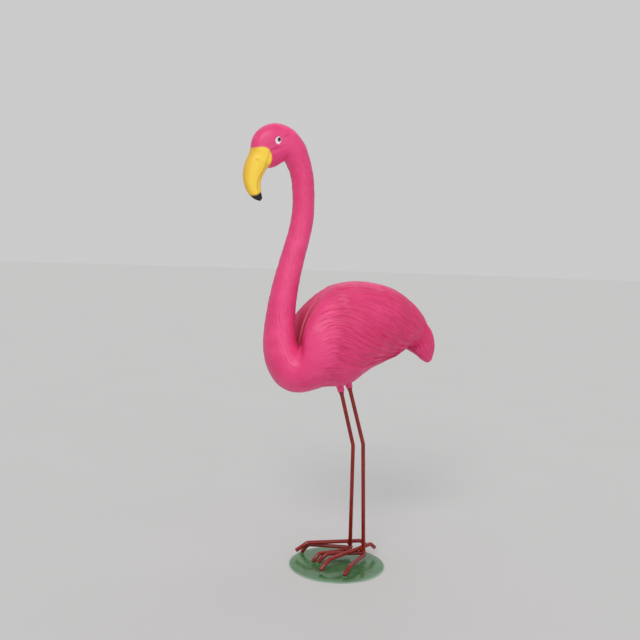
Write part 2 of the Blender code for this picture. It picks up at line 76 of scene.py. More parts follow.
# Bird, as in the solids
BIRD_HEIGHT = 0.523
BIRD_PLACE = Vector((-0.002, 0.015, 0.3565))
FEATHERS_PER_SIDE = 16
FEATHER_RISE = 0.0022
FEATHER_ROW_RISE = 0.0015
TAIL_STEP = 0.0028
SHOULDER_SWELL = 0.015

# Leg sockets, as in the solids
SOCKET_X = 0.012
SOCKET_SPACING = 0.018
SOCKET_REACH = 0.0125
SOCKET_WALL = 0.0025
SOCKET_CLEARANCE = 0.0003

# A socket's outline from its mouth up into the belly: heights over the mouth, and how much wider
# it is there than its bore and then than its outside, where it flares
SOCKET_BORE = ((0.006, 0.0), (0.0002, 0.0), (0.0, 0.0003))
SOCKET_OUTSIDE = (
    (0.0, -0.0006), (0.0006, 0.0), (0.007, 0.0001), (0.0095, 0.0005), (0.012, 0.0015),
    (0.014, 0.003), (0.018, 0.005),
)

# Legs, as in the solids
LEG_DIAMETER = 0.008
COLLAR_DIAMETER = 0.0108
COLLAR_LENGTH = 0.008
KNEE_SHARE = 0.345
KNEE_BACK = 0.0195
KNEE_BEND_RADIUS = 0.022
FEET_X = 0.0495
FEET_STAGGER = 0.016
FEET_SPREAD = 0.035

# How far a leg is shown up into its socket. Its collar starts COLLAR_STEP below the plain rod and
# is narrower by the second value at each depth of COLLAR_PROFILE. COLLAR_NECK is how far down it
# has nearly run out, and how much wider than the rod it still is there
LEG_TOP_REACH = 0.004
COLLAR_STEP = 0.0001
COLLAR_PROFILE = ((0.0, 0.0005), (0.0005, 0.0), (0.0025, 0.0003))
COLLAR_NECK = (0.005, 0.0005)
ROD_CHAMFER = 0.0006

# Toes, as in the solids
TOE_DIAMETER = 0.008
SIDE_TOE_HEIGHT = 0.015
SIDE_TOE_REACH = 0.077
RIGHT_OUTER_TOE_REACH = 0.088
LEFT_INNER_TOE_RISE = 0.0045
RIGHT_OUTER_TOE_RISE = 0.005
RIGHT_INNER_TOE_RISE = 0.003
LEFT_SIDE_TOE_TIP = 0.024
RIGHT_SIDE_TOE_TIP = 0.020
SIDE_TOE_BEND_RADIUS = 0.007
LEFT_LONG_TOE_HEIGHT = 0.0252
LEFT_LONG_TOE_FALL = 0.003
RIGHT_LONG_TOE_HEIGHT = 0.028
LONG_TOE_REACH = 0.090
LONG_TOE_TIP_REACH = 0.024
LONG_TOE_TIP_DROP = 0.016
LEFT_BACK_TOE_REACH = 0.031
RIGHT_BACK_TOE_REACH = 0.025
BACK_TOE_TIP_REACH = 0.013
BACK_TOE_TIP_DROP = 0.011
TOE_BEND_RADIUS = 0.012

# Base disc, as in the solids
BASE_DIAMETER = 0.195
BASE_THICKNESS = 0.003
BASE_EDGE_THICKNESS = 0.0014
BASE_EDGE_BAND = 0.010

# Shallow grooves run round the disc's bent edge. The last one of that edge's EDGE_HIGHLIGHT_PARTS
# has a pale highlight painted on it, and so has the underside's rim, by UNDERSIDE_HIGHLIGHT
EDGE_GROOVES = 4
EDGE_GROOVE_DEPTH = 0.00012
EDGE_HIGHLIGHT_PARTS = 4.0
UNDERSIDE_HIGHLIGHT = 0.2

# Beads of weld: half sizes, and the seed of their lumps for the left foot and how much the right
# foot's is greater
Weld = namedtuple("Weld", "size seed seed_step")
JOINT_WELD = Weld((0.0060, 0.0058, 0.0066), 0.0, 7.0)
FOOT_WELD = Weld((0.0054, 0.0054, 0.0042), 3.0, 5.0)
TIP_WELD = Weld((0.0050, 0.0050, 0.0026), 11.0, 3.0)

# How far the foot's weld lies below the leg's end, and how far the middle of a tip's weld lies
# over the plate and ahead of the tip
FOOT_WELD_DROP = 0.001
TIP_WELD_SINK = 0.0002
TIP_WELD_AHEAD = 0.0005

# Lumps of a weld: how many there are over its half size, and how far they rise as a share of it
Lumps = namedtuple("Lumps", "cells rise")
BROAD_LUMPS = Lumps(1.7, 0.22)
FINE_LUMPS = Lumps(5.0, 0.06)

# Where one piece touches the next, this gap stays between them. A leg's end is a little higher
# over the side toes' wire, which climbs toward their bends
TOUCH_GAP = 0.0003
FOOT_GAP = 0.0007

# Fineness of the shown surfaces. A feather's columns of points are at these shares of its width,
# and BASE_RING_MARGIN is how far the disc's flat rings stay from its middle and its edge
COLUMNS_IN_FEATHER = (0.0, 0.11, 0.22, 0.33, 0.44, 0.55, 0.66, 0.77, 0.88, 0.94)
HEAD_ROWS = 92
NECK_ROWS = 108
BODY_ROWS = 200
ROD_SIDES = 28
BEND_STEPS = 14
BASE_SIDES = 160
BASE_RINGS = 22
BASE_RING_MARGIN = 0.004
BASE_EDGE_RINGS = 40
BASE_RIM_STEPS = 9
WELD_FINENESS = 4
SHARP_ANGLE = math.radians(50)

# How many places along the belly are tried where its height at a leg is looked for
SEARCH_STEPS = 200

# One section across the bird, in thousandths of its height, as in the solids. back and front are
# its ends on the bird's middle plane as (x, z). half is the half width, widest is how far the
# widest point lies toward the back end, and square is 2 for an ellipse and more for a squarer
# section
Section = namedtuple("Section", "name back front half widest square", defaults=(0.0, 2.0))
SECTIONS = (
    Section("beak tip", (-335, 715), (-328, 726), 7, 0.0, 2.2),
    Section("hook", (-353, 720), (-332, 743), 12, 0.0, 2.2),
    Section("beak low", (-374, 735), (-335, 764), 16, 0.0, 2.2),
    Section("beak bend", (-390, 760), (-336, 781), 20, 0.0, 2.3),
    Section("beak middle", (-399, 793), (-332, 801), 25, 0.0, 2.3),
    Section("beak high", (-399, 826), (-323, 822), 30, 0.0, 2.3),
    Section("beak root", (-389, 862), (-309, 840), 35, 0.0, 2.3),
    Section("brow foot", (-373, 900), (-297, 838), 40, 0.0, 2.3),
    Section("brow", (-372, 921), (-288, 841), 43, 0.05, 2.3),
    Section("forehead", (-364, 948), (-280, 844), 46, 0.08, 2.3),
    Section("forehead top", (-347, 971), (-272, 849), 49, 0.1, 2.3),
    Section("crown front", (-320, 990), (-265, 854), 51, 0.1, 2.3),
    Section("crown", (-288, 999), (-257, 859), 52, 0.1, 2.3),
    Section("crown back", (-253, 995), (-249, 864), 52, 0.1, 2.3),
    Section("head back", (-222, 982), (-244, 866), 51, 0.1, 2.25),
    Section("nape top", (-198, 962), (-238, 860), 49, 0.08, 2.2),
    Section("nape", (-174, 933), (-231, 847), 46, 0.05, 2.1),
    Section("neck top", (-157, 896), (-222, 829), 43),
    Section("neck upper", (-142, 849), (-215, 806), 41),
    Section("neck arch", (-131, 789), (-210, 770), 40),
    Section("neck slim", (-128, 728), (-206, 722), 40),
    Section("neck middle", (-129, 655), (-210, 659), 40),
    Section("neck sway", (-142, 582), (-224, 593), 41),
    Section("neck lower", (-159, 511), (-244, 523), 44),
    Section("neck low", (-174, 440), (-265, 450), 48),
    Section("neck wide", (-185, 371), (-283, 373), 52),
    Section("neck broad", (-190, 310), (-296, 302), 56),
    Section("neck foot", (-190, 256), (-303, 241), 61),
    Section("breast top", (-187, 218), (-305, 189), 69),
    Section("breast", (-180, 193), (-300, 141), 79),
    Section("breast low", (-174, 181), (-286, 93), 90),
    Section("keel", (-169, 183), (-263, 51), 102, 0.02),
    Section("shoulder foot", (-166, 198), (-232, 20), 113, 0.08, 2.05),
    Section("shoulder front", (-161, 223), (-201, 5), 125, 0.12, 2.1),
    Section("shoulder rise", (-153, 256), (-173, 1), 134, 0.14, 2.15),
    Section("shoulder", (-140, 292), (-144, 3), 142, 0.15, 2.15),
    Section("shoulder top", (-117, 335), (-111, 11), 150, 0.15, 2.15),
    Section("back front", (-81, 379), (-77, 21), 155, 0.15, 2.1),
    Section("back rise", (-29, 410), (-38, 22), 157, 0.15, 2.05),
    Section("back", (29, 424), (0, 20), 157, 0.15),
    Section("back top", (86, 426), (42, 35), 153, 0.15),
    Section("back fall", (140, 419), (82, 65), 146, 0.15),
    Section("rump", (196, 404), (123, 91), 132, 0.15),
    Section("rump fall", (247, 378), (165, 109), 115, 0.14),
    Section("rump low", (293, 344), (205, 126), 96, 0.12),
    Section("wing end", (334, 304), (242, 149), 75, 0.1),
    Section("tail root", (364, 258), (270, 166), 56, 0.05),
    Section("tail", (384, 220), (297, 154), 41, 0.0, 2.1),
    Section("tail low", (395, 183), (328, 137), 31, 0.0, 2.1),
    Section("tail end", (398, 152), (353, 117), 21, 0.0, 2.1),
    Section("tail tip", (393, 124), (374, 107), 12, 0.0, 2.1),
)
THOUSAND = 1000.0

# The wing, as in the solids. The feather lines sink from the shoulder to the wing's end by this
# share of the way round, most at the sides. Over the breast they rise by half as much
FEATHER_SINK = 0.45

# Rows of feathers end at these shares of the wing's length. At its end a row falls to the next
# one over FEATHER_ROW_FALL of the wing, and its feathers' tips reach FEATHER_TIP further than the
# grooves between them
FEATHER_ROW_ENDS = (0.34, 0.60, 0.82, 1.0)
FEATHER_ROW_FALL = 0.03
FEATHER_TIP = 0.045

# Ahead of this share of the wing's length the shoulder is smooth
FEATHER_START = 0.2

# The relief lies between these places on the way round from the back (0) to the belly (1)
FEATHER_TOP = 0.04
FEATHER_BOTTOM = 0.80
FEATHER_FADE = 0.08

# Each feather falls to the one below it over its last FEATHER_FALL, more steeply than in the solids
FEATHER_FALL = 0.12

# Behind the wing's end the tail lies lower. That step fades out between these shares of the
# wing's length, and between these places on the way round
TAIL_STEP_ENDS = (1.05, 1.25)
TAIL_STEP_SIDES = (0.45, 0.75)

# The shoulders swell forward beside the neck's foot: at this angle from the back, over this angle
SWELL_ANGLE = math.radians(49)
SWELL_SPREAD = math.radians(29)

# Strokes carved along the feather lines, zone by zone: between two sections, and between two
# places on the way round. spacing, length, depth and width are in metres
Strokes = namedtuple("Strokes", "first last top bottom spacing length depth width")
HEAD_STROKES = (
    Strokes("crown", "nape", 0.15, 0.75, 0.0080, 0.010, 0.00020, 0.0010),
    Strokes("nape", "neck foot", 0.02, 0.98, 0.0050, 0.020, 0.00065, 0.0009),
)
BODY_STROKES = (
    Strokes("neck foot", "shoulder foot", 0.02, 0.98, 0.0060, 0.017, 0.00055, 0.0011),
    Strokes("shoulder foot", "shoulder top", 0.10, 0.95, 0.0075, 0.015, 0.00045, 0.0012),
    Strokes("shoulder top", "back front", 0.02, 0.42, 0.0070, 0.014, 0.00060, 0.0012),
    Strokes("shoulder top", "back front", 0.42, 0.95, 0.0085, 0.024, 0.00110, 0.0012),
    Strokes("back front", "rump", 0.015, 0.16, 0.0065, 0.016, 0.00055, 0.0012),
    Strokes("back front", "rump", 0.16, 0.97, 0.0078, 0.050, 0.00095, 0.0011),
    Strokes("rump", "wing end", 0.015, 0.97, 0.0078, 0.042, 0.00090, 0.0011),
    Strokes("tail root", "tail low", 0.05, 0.95, 0.0065, 0.026, 0.00060, 0.0011),
)

# The depth at which the painted shade in a stroke is deepest. Then the seeds of the chance that
# places the strokes of the head and of the body
STROKE_DEEPEST = 0.0010
HEAD_SEED = 3
BODY_SEED = 7

# Chance in a stroke: its place between its neighbours, its length, how far it starts from its
# row, and its depth, as shares of the zone's own measures
STROKE_PLACES = (0.15, 0.6)
STROKE_LENGTHS = (0.55, 1.1)
STROKE_STARTS = (-0.25, 0.25)
STROKE_DEPTHS = (0.55, 1.0)

# A row of strokes starts this share of their length after the one before, and every second row
# is shifted by ROW_SHIFT of their spacing. A stroke is shallower by END_RISE at its ends and runs
# out over END_REACH of its width
ROW_STEP = 0.86
ROW_SHIFT = 0.4
END_RISE = 0.6
END_REACH = 1.5

# The moulding's parting line stands up along the middle plane, and the rest lies lower by as
# much. Its width is a share of the way round
SEAM_RISE = 0.0005
SEAM_SHARE = 0.003

# Places on the side of the head, in thousandths of the bird's height: the edge of the beak's
# paint, the edge of its black tip, the line of the mouth, the nostril, the eye and its pupil
BEAK_EDGE = (
    (-420, 903), (-372, 903), (-354, 905), (-330, 905), (-317, 898), (-309, 885), (-304, 867),
    (-306, 852), (-312, 840), (-318, 820), (-318, 790),
)
TIP_EDGE = ((-400, 727), (-379, 729), (-365, 730), (-350, 734), (-338, 742), (-320, 752))
MOUTH_LINE = (
    (-317, 896), (-321, 875), (-326, 849), (-336, 825), (-349, 800), (-354, 775), (-349, 750),
)
NOSTRIL = (-357, 862)
EYE = (-285, 933)
PUPIL = (-282, 935)

# How finely a line on the head is smoothed: places on it for each of its points
PLACES_PER_POINT = 8

# The beak lies BEAK_SINK lower at its paint's edge, over BEAK_STEP, and is level again
# BEAK_SINK_REACH from it
BEAK_SINK = 0.0010
BEAK_SINK_REACH = 0.016
BEAK_STEP = 0.0012

MOUTH_DEPTH = 0.0009
MOUTH_WIDTH = 0.0011
NOSTRIL_SIZE = (0.0032, 0.0016)
NOSTRIL_TURN = -0.5
NOSTRIL_DEPTH = 0.0013

# The eye is a raised oval, drawn out toward the beak by EYE_CORNER. The lid is a low ring round
# it, at EYELID_PLACE times its size
EYE_SIZE = (0.0053, 0.0067)
EYE_RISE = 0.0013
EYE_CORNER = 0.18
EYELID_PLACE = 1.2
EYELID_RISE = 0.0013
EYELID_WIDTH = 0.15
PUPIL_SIZE = (0.0033, 0.0041)

# Soft folds on the side of the head: place, reach along and across, turn in degrees, and rise in
# metres. Those that lie deeper than CREASE_DEPTH also get painted shade, by CREASE_SHADE
Fold = namedtuple("Fold", "place along across turn rise")
CREASE_DEPTH = 0.0008
CREASE_SHADE = 0.6
FOLDS = (
    Fold((-263, 950), 0.0080, 0.0015, 20, -0.0011),
    Fold((-270, 958), 0.0110, 0.0028, 20, 0.0009),
    Fold((-297, 907), 0.0105, 0.0018, 24, -0.0011),
    Fold((-290, 898), 0.0150, 0.0032, 24, 0.0009),
    Fold((-335, 925), 0.0130, 0.0060, 70, 0.0007),
)

# One leg, as in the solids: side is +1 for the right leg, which is toward +Y. outer and inner are
# its foot's side toes, side_tip is how long their ends are beyond the bends, and long is its long
# toe. turn is in degrees from straight ahead, inward for the inner toe and outward for the
# others. A toe's bend is higher by rise, or lower by fall, than the same wire at the leg
SideToe = namedtuple("SideToe", "turn reach rise")
LongToe = namedtuple("LongToe", "turn height fall back_reach")
Leg = namedtuple("Leg", "name side outer inner side_tip long")
LEGS = (
    Leg(
        "left", -1, SideToe(44.0, SIDE_TOE_REACH, 0.0),
        SideToe(2.0, SIDE_TOE_REACH, LEFT_INNER_TOE_RISE), LEFT_SIDE_TOE_TIP,
        LongToe(24.5, LEFT_LONG_TOE_HEIGHT, LEFT_LONG_TOE_FALL, LEFT_BACK_TOE_REACH),
    ),
    Leg(
        "right", 1, SideToe(17.5, RIGHT_OUTER_TOE_REACH, RIGHT_OUTER_TOE_RISE),
        SideToe(10.5, SIDE_TOE_REACH, RIGHT_INNER_TOE_RISE), RIGHT_SIDE_TOE_TIP,
        LongToe(8.0, RIGHT_LONG_TOE_HEIGHT, 0.0, RIGHT_BACK_TOE_REACH),
    ),
)

# Where colour is painted over the pink, from the shape: shares of the wing's length and of the way
# round where the wing's deeper pink starts and over which it comes, and how wide the painted shade
# in the notch behind the neck and the painted highlight along the seam in it are on the way round
WING_PAINT_START = 0.24
WING_PAINT_TOP = 0.08
WING_PAINT_FADE = 0.1
NOTCH_SHADE_EDGES = (0.06, 0.24)
NOTCH_GLINT_EDGES = (0.001, 0.007)

# How strong the fine hair lines are at the brow's foot, the crown and the nape. Each side of the
# bird has its own, HAIR_SIDES apart
HAIR_STRENGTHS = (0, 0.3, 1)
HAIR_SIDES = 3.0

# Noise in the paints: cells to the metre, detail and roughness
Cells = namedtuple("Cells", "scale detail roughness", defaults=(2.0, 0.5))

# The bird's paint. Colours are given as on a colour card, from 0 to 255
MOTTLE = Cells(22.0, 4.0, 0.6)
MOTTLE_ENDS = (0.3, 0.75)
GRAIN = Cells(900.0)
GRAIN_HEIGHT = 0.00006
PINK = (214, 54, 112)
PALE_PINK = (226, 68, 126)
WING_PINK = (196, 40, 92)
# Painted shade in the carved strokes
GROOVE_SHADE_PINK = (184, 24, 78)
# Painted shade: this deep red stands for the shade that falls in the notch behind the neck
NOTCH_SHADE_RED = (176, 14, 52)
# Painted highlight: a pale glint along the mould seam in the notch
NOTCH_GLINT_PINK = (246, 160, 182)
# Painted shade in the deep folds, the mouth line and the nostril, on the pink
CREASE_SHADE_PINK = (150, 22, 74)
YELLOW = (242, 205, 68)
SIDE_YELLOW = (222, 176, 56)
EDGE_YELLOW = (214, 160, 46)
# Painted shade in the beak's mouth line and nostril
CREASE_SHADE_YELLOW = (160, 104, 26)
TIP_OLIVE = (96, 84, 36)
TIP_BLACK = (24, 21, 20)
EYE_WHITE = (220, 204, 213)
PUPIL_BLACK = (14, 12, 13)

# How much of each of those paints covers the one under it, where it is strongest
WING_COVER = 0.45
GROOVE_SHADE_COVER = 0.6
NOTCH_SHADE_COVER = 0.7
NOTCH_GLINT_COVER = 0.75
CREASE_SHADE_COVER = 0.6
BEAK_CREASE_SHADE_COVER = 0.4
OLIVE_COVER = 0.75

# Edges of the paints, in metres on the beak and in shares of the oval on the eye: where each
# starts and ends, and how far the mottle moves it
BEAK_EDGE_ENDS = (0.0003, -0.0003)
BEAK_EDGE_WANDER = 0.0012
EDGE_YELLOW_ENDS = (-0.0035, 0.0)
SIDE_YELLOW_ENDS = (0.15, 1.0)
SIDE_YELLOW_WANDER = 0.5
TIP_EDGE_WANDER = 0.004
OLIVE_ENDS = (0.0040, -0.0006)
BLACK_ENDS = (0.0014, -0.0016)
EYE_ENDS = (0.03, -0.03)
PUPIL_ENDS = (0.06, -0.06)

# The bird's roughness, what grain, mottle and notch add to it, and what the eye's gloss takes off
BIRD_ROUGHNESS = 0.40
GRAIN_ROUGHNESS = 0.12
MOTTLE_ROUGHNESS = 0.1
NOTCH_ROUGHNESS = 0.45
EYE_GLOSS = 0.16

# Fine hair lines in the moulding: noise that is drawn out along the bird
HAIR = Cells(1.0, 2.0, 0.6)
HAIR_CELLS_ALONG = 45.0
HAIR_CELLS_ACROSS = 110.0
HAIR_HEIGHT = 0.0003

# The rods' paint
ROD_RED = (114, 14, 10)
BRIGHT_ROD_RED = (134, 24, 16)
ROD_CLOUD = Cells(60.0, 3.0, 0.6)
ROD_GRAIN = Cells(700.0)
ROD_GRAIN_HEIGHT = 0.00005
ROD_LUMPS = Cells(180.0)
ROD_LUMP_HEIGHT = 0.00025
ROD_ROUGHNESS = 0.18
ROD_GRAIN_ROUGHNESS = 0.12

# The disc's paint
DISC_GREEN = (50, 100, 56)
PALE_DISC_GREEN = (68, 122, 72)
# Painted highlight: this pale grey along the rounded rim stands for the light it catches
RIM_HIGHLIGHT_GREY = (140, 170, 150)
RIM_HIGHLIGHT_COVER = 0.7
DISC_CLOUD = Cells(14.0, 4.0, 0.6)
DISC_GRAIN = Cells(800.0)
DISC_GRAIN_HEIGHT = 0.00003
DISC_WAVES = Cells(35.0, 1.0)
DISC_WAVE_HEIGHT = 0.0006
DISC_ROUGHNESS = 0.14
DISC_CLOUD_ROUGHNESS = 0.12

# Where the clouds in the paints of rods and disc change from one colour to the other. Then the
# floor's clouds
CLOUD_ENDS = (0.3, 0.7)
FLOOR_CLOUD = Cells(3.0, 3.0)


def set_camera():
    """Stand the camera where the photograph was taken from."""
    forward = Vector((
        math.cos(CAMERA_HEADING) * math.cos(CAMERA_DIP),
        math.sin(CAMERA_HEADING) * math.cos(CAMERA_DIP),
        -math.sin(CAMERA_DIP),
    ))
    level = Vector((math.sin(CAMERA_HEADING), -math.cos(CAMERA_HEADING), 0.0))
    right = level * math.cos(CAMERA_ROLL) + level.cross(forward) * math.sin(CAMERA_ROLL)
    turn = Matrix((right, right.cross(forward), -forward)).transposed()
    data = bpy.data.cameras.new("camera")
    data.lens = CAMERA_LENS
    data.sensor_width = SENSOR_WIDTH
    camera = bpy.data.objects.new("camera", data)
    camera.matrix_world = Matrix.Translation(CAMERA_PLACE) @ turn.to_4x4()
    bpy.context.collection.objects.link(camera)
    bpy.context.scene.camera = camera


def set_light():
    """A pale even sky with the broad lamps in it."""
    for lamp in LAMPS:
        data = bpy.data.lights.new(lamp.name, "SUN")
        data.angle = math.radians(lamp.width)
        data.energy = lamp.power
        data.color = lamp.colour
        obj = bpy.data.objects.new(lamp.name, data)
        obj.rotation_euler = Vector(lamp.toward).to_track_quat("Z", "Y").to_euler()
        bpy.context.collection.objects.link(obj)
    world = bpy.data.worlds.new("pale sky")
    world.use_nodes = True
    sky = world.node_tree.nodes["Background"]
    sky.inputs["Color"].default_value = SKY_WHITE
    sky.inputs["Strength"].default_value = SKY
    bpy.context.scene.world = world
    bpy.context.scene.view_settings.view_transform = "Standard"


class Value:
    """A number that changes over a surface. An expression on values adds its Math nodes."""

    def __init__(self, look, socket):
        self.look = look
        self.socket = socket

    def __add__(self, other):
        return self.look.maths("ADD", self, other)

    def __sub__(self, other):
        return self.look.maths("SUBTRACT", self, other)

    def __rsub__(self, other):
        return self.look.maths("SUBTRACT", other, self)

    def __mul__(self, other):
        return self.look.maths("MULTIPLY", self, other)

    __radd__ = __add__
    __rmul__ = __mul__

    def rise(self, start, end):
        """0 up to start, 1 from end on and a smooth way between. start may be the greater one."""
        settings = {"interpolation_type": "SMOOTHSTEP"}
        inputs = {0: self, 1: start, 2: end, 3: 0.0, 4: 1.0}
        return self.look.add("ShaderNodeMapRange", settings, inputs)


class Look:
    """A material, and the nodes that its finish is made of."""

    def __init__(self, name, **fixed):
        self.material = bpy.data.materials.new(name)
        self.material.use_nodes = True
        self.tree = self.material.node_tree
        self.shader = self.tree.nodes["Principled BSDF"]
        for socket, value in fixed.items():
            self.shader.inputs[socket.replace("_", " ")].default_value = value

    def feed(self, socket, given):
        """Link a socket to a value, or set it to a number or colour."""
        if isinstance(given, Value):
            self.tree.links.new(given.socket, socket)
        else:
            socket.default_value = given

    def add(self, kind, settings, inputs, output=0):
        """One node: its settings first, then the values or links of its sockets."""
        node = self.tree.nodes.new(kind)
        for name, setting in settings.items():
            setattr(node, name, setting)
        for key, given in inputs.items():
            self.feed(node.inputs[key], given)
        return Value(self, node.outputs[output])

    def maths(self, operation, first, second):
        return self.add("ShaderNodeMath", {"operation": operation}, {0: first, 1: second})

    def mix(self, share, first, second):
        """A colour that goes from first to second as share goes from 0 to 1."""
        inputs = {0: share, 6: first, 7: second}
        return self.add("ShaderNodeMix", {"data_type": "RGBA"}, inputs, 2)

    def field(self, name):
        """A value that the mesh keeps at its points."""
        return self.add("ShaderNodeAttribute", {"attribute_name": name}, {}, "Fac")

    def place(self):
        """The point of the surface, in metres."""
        return self.add("ShaderNodeTexCoord", {}, {}, "Object")

    def noise(self, place, cells):
        """Noise from 0 to 1 that varies over the given cells."""
        inputs = {"Vector": place, "Scale": cells.scale}
        inputs |= {"Detail": cells.detail, "Roughness": cells.roughness}
        return self.add("ShaderNodeTexNoise", {}, inputs, "Fac")

    def bump(self, height, distance, below=None):
        """A relief that only the light sees, distance metres high, on top of the one below."""
        inputs = {"Height": height, "Distance": distance, "Strength": 1.0}
        if below is not None:
            inputs["Normal"] = below
        return self.add("ShaderNodeBump", {}, inputs, "Normal")

    def finish(self, **varying):
        """The material, once what changes over its surface is fed to the shader."""
        for socket, given in varying.items():
            self.feed(self.shader.inputs[socket.replace("_", " ")], given)
        return self.material


def colour(card):
    """A colour given as on a colour card, from 0 to 255, as the shader wants it."""
    def linear(level):
        level = level / 255.0
        return level / 12.92 if level <= 0.04045 else ((level + 0.055) / 1.055) ** 2.4
    return (*(linear(level) for level in card), 1.0)


def bird_look():
    """Satin pink paint on the moulding, with the beak's yellow and black and the eye's white."""
    look = Look("moulded pink plastic", IOR=1.46, Specular_IOR_Level=0.45)
    place = look.place()
    mottle = look.noise(place, MOTTLE)
    grain = look.noise(place, GRAIN)
    painted_crease_shade = look.field("painted_crease_shade")
    notch = look.field("notch")

    pink = look.mix(mottle.rise(*MOTTLE_ENDS), colour(PINK), colour(PALE_PINK))
    pink = look.mix(look.field("wing") * WING_COVER, pink, colour(WING_PINK))
    # Painted shade in the carved strokes, darker where they are deeper
    pink = look.mix(look.field("groove").rise(0.0, 1.0) * GROOVE_SHADE_COVER, pink, colour(GROOVE_SHADE_PINK))
    # Painted shade in the notch behind the neck
    pink = look.mix(notch * NOTCH_SHADE_COVER, pink, colour(NOTCH_SHADE_RED))
    # Painted highlight along the mould seam in the notch
    pink = look.mix(look.field("notch_glint") * NOTCH_GLINT_COVER, pink, colour(NOTCH_GLINT_PINK))
    # Painted shade in the deep folds, the mouth line and the nostril
    pink = look.mix(painted_crease_shade * CREASE_SHADE_COVER, pink, colour(CREASE_SHADE_PINK))

    beak_edge = look.field("beak_edge") + (mottle - 0.5) * BEAK_EDGE_WANDER
    beak_side = look.field("beak_side") + (mottle - 0.5) * SIDE_YELLOW_WANDER
    yellow = look.mix(beak_side.rise(*SIDE_YELLOW_ENDS), colour(YELLOW), colour(SIDE_YELLOW))
    yellow = look.mix(beak_edge.rise(*EDGE_YELLOW_ENDS), yellow, colour(EDGE_YELLOW))
    # Painted shade in the beak's mouth line and nostril
    yellow = look.mix(painted_crease_shade * BEAK_CREASE_SHADE_COVER, yellow, colour(CREASE_SHADE_YELLOW))

    paint = look.mix(beak_edge.rise(*BEAK_EDGE_ENDS), pink, yellow)
    tip_edge = look.field("tip_edge") + (mottle - 0.5) * TIP_EDGE_WANDER
    paint = look.mix(tip_edge.rise(*OLIVE_ENDS) * OLIVE_COVER, paint, colour(TIP_OLIVE))
    paint = look.mix(tip_edge.rise(*BLACK_ENDS), paint, colour(TIP_BLACK))
    eye = look.field("eye_edge").rise(*EYE_ENDS)
    paint = look.mix(eye, paint, colour(EYE_WHITE))
    pupil = look.field("pupil_edge").rise(*PUPIL_ENDS)
    paint = look.mix(pupil, paint, colour(PUPIL_BLACK))

    rough = BIRD_ROUGHNESS + (grain - 0.5) * GRAIN_ROUGHNESS + (mottle - 0.5) * MOTTLE_ROUGHNESS
    rough = rough - EYE_GLOSS * eye + NOTCH_ROUGHNESS * notch
    lines = {0: look.field("along") * HAIR_CELLS_ALONG, 1: look.field("across") * HAIR_CELLS_ACROSS}
    hair = look.noise(look.add("ShaderNodeCombineXYZ", {}, lines), HAIR)
    hair_bump = look.bump(hair * look.field("hair"), HAIR_HEIGHT)
    normal = look.bump(grain, GRAIN_HEIGHT, hair_bump)
    return look.finish(Base_Color=paint, Roughness=rough, Normal=normal)


def rod_look():
    """Semi-gloss dark red paint, a little lumpy."""
    look = Look("dark red painted rod", IOR=1.5)
    place = look.place()
    cloud = look.noise(place, ROD_CLOUD)
    grain = look.noise(place, ROD_GRAIN)
    red = look.mix(cloud.rise(*CLOUD_ENDS), colour(ROD_RED), colour(BRIGHT_ROD_RED))
    lump_bump = look.bump(look.noise(place, ROD_LUMPS), ROD_LUMP_HEIGHT)
    normal = look.bump(grain, ROD_GRAIN_HEIGHT, lump_bump)
    rough = ROD_ROUGHNESS + grain * ROD_GRAIN_ROUGHNESS
    return look.finish(Base_Color=red, Roughness=rough, Normal=normal)


def disc_look():
    """Glossy green paint over a plate that isn't quite flat, with a pale highlight painted on its
    rim.
    """
    look = Look("green painted plate", IOR=1.5, Coat_Weight=0.35, Coat_Roughness=0.08)
    place = look.place()
    cloud = look.noise(place, DISC_CLOUD)
    grain = look.noise(place, DISC_GRAIN)
    green = look.mix(cloud.rise(*CLOUD_ENDS), colour(DISC_GREEN), colour(PALE_DISC_GREEN))
    # Painted highlight along the rounded rim
    green = look.mix(look.field("rim") * RIM_HIGHLIGHT_COVER, green, colour(RIM_HIGHLIGHT_GREY))
    wave_bump = look.bump(look.noise(place, DISC_WAVES), DISC_WAVE_HEIGHT)
    normal = look.bump(grain, DISC_GRAIN_HEIGHT, wave_bump)
    rough = DISC_ROUGHNESS + cloud * DISC_CLOUD_ROUGHNESS
    return look.finish(Base_Color=green, Roughness=rough, Normal=normal)


def floor_look():
    """Matt pale grey, faintly clouded."""
    look = Look("pale floor", Roughness=0.8, Specular_IOR_Level=0.0)
    cloud = look.noise(look.place(), FLOOR_CLOUD)
    dark = (*[FLOOR_SHADE - FLOOR_SHADE_SPREAD] * 3, 1.0)
    light = (*[FLOOR_SHADE + FLOOR_SHADE_SPREAD] * 3, 1.0)
    return look.finish(Base_Color=look.mix(cloud, dark, light))


def smooth_step(value):
    """0 up to 0, 1 from 1 on and a smooth way between."""
    value = np.clip(value, 0.0, 1.0)
    return value * value * (3.0 - 2.0 * value)


def fade_out(value, start, end):
    """1 up to start and 0 from end on."""
    return smooth_step((end - value) / (end - start))


def spline(knots, values, places):
    """A smooth curve through values at uneven knots, read at places."""
    spans = np.diff(knots)[:, None]
    chords = np.diff(values, axis=0) / spans
    slopes = np.empty_like(values)
    slopes[0] = chords[0]
    slopes[-1] = chords[-1]
    slopes[1:-1] = (chords[:-1] * spans[1:] + chords[1:] * spans[:-1]) / (spans[1:] + spans[:-1])
    index = np.clip(np.searchsorted(knots, places, side="right") - 1, 0, len(knots) - 2)
    span = spans[index]
    part = (places - knots[index])[..., None] / span
    start_weight = 2 * part**3 - 3 * part**2 + 1
    end_weight = 1 - start_weight
    start_pull = (part**3 - 2 * part**2 + part) * span
    end_pull = (part**3 - part**2) * span
    return (
        start_weight * values[index]
        + end_weight * values[index + 1]
        + start_pull * slopes[index]
        + end_pull * slopes[index + 1]
    )


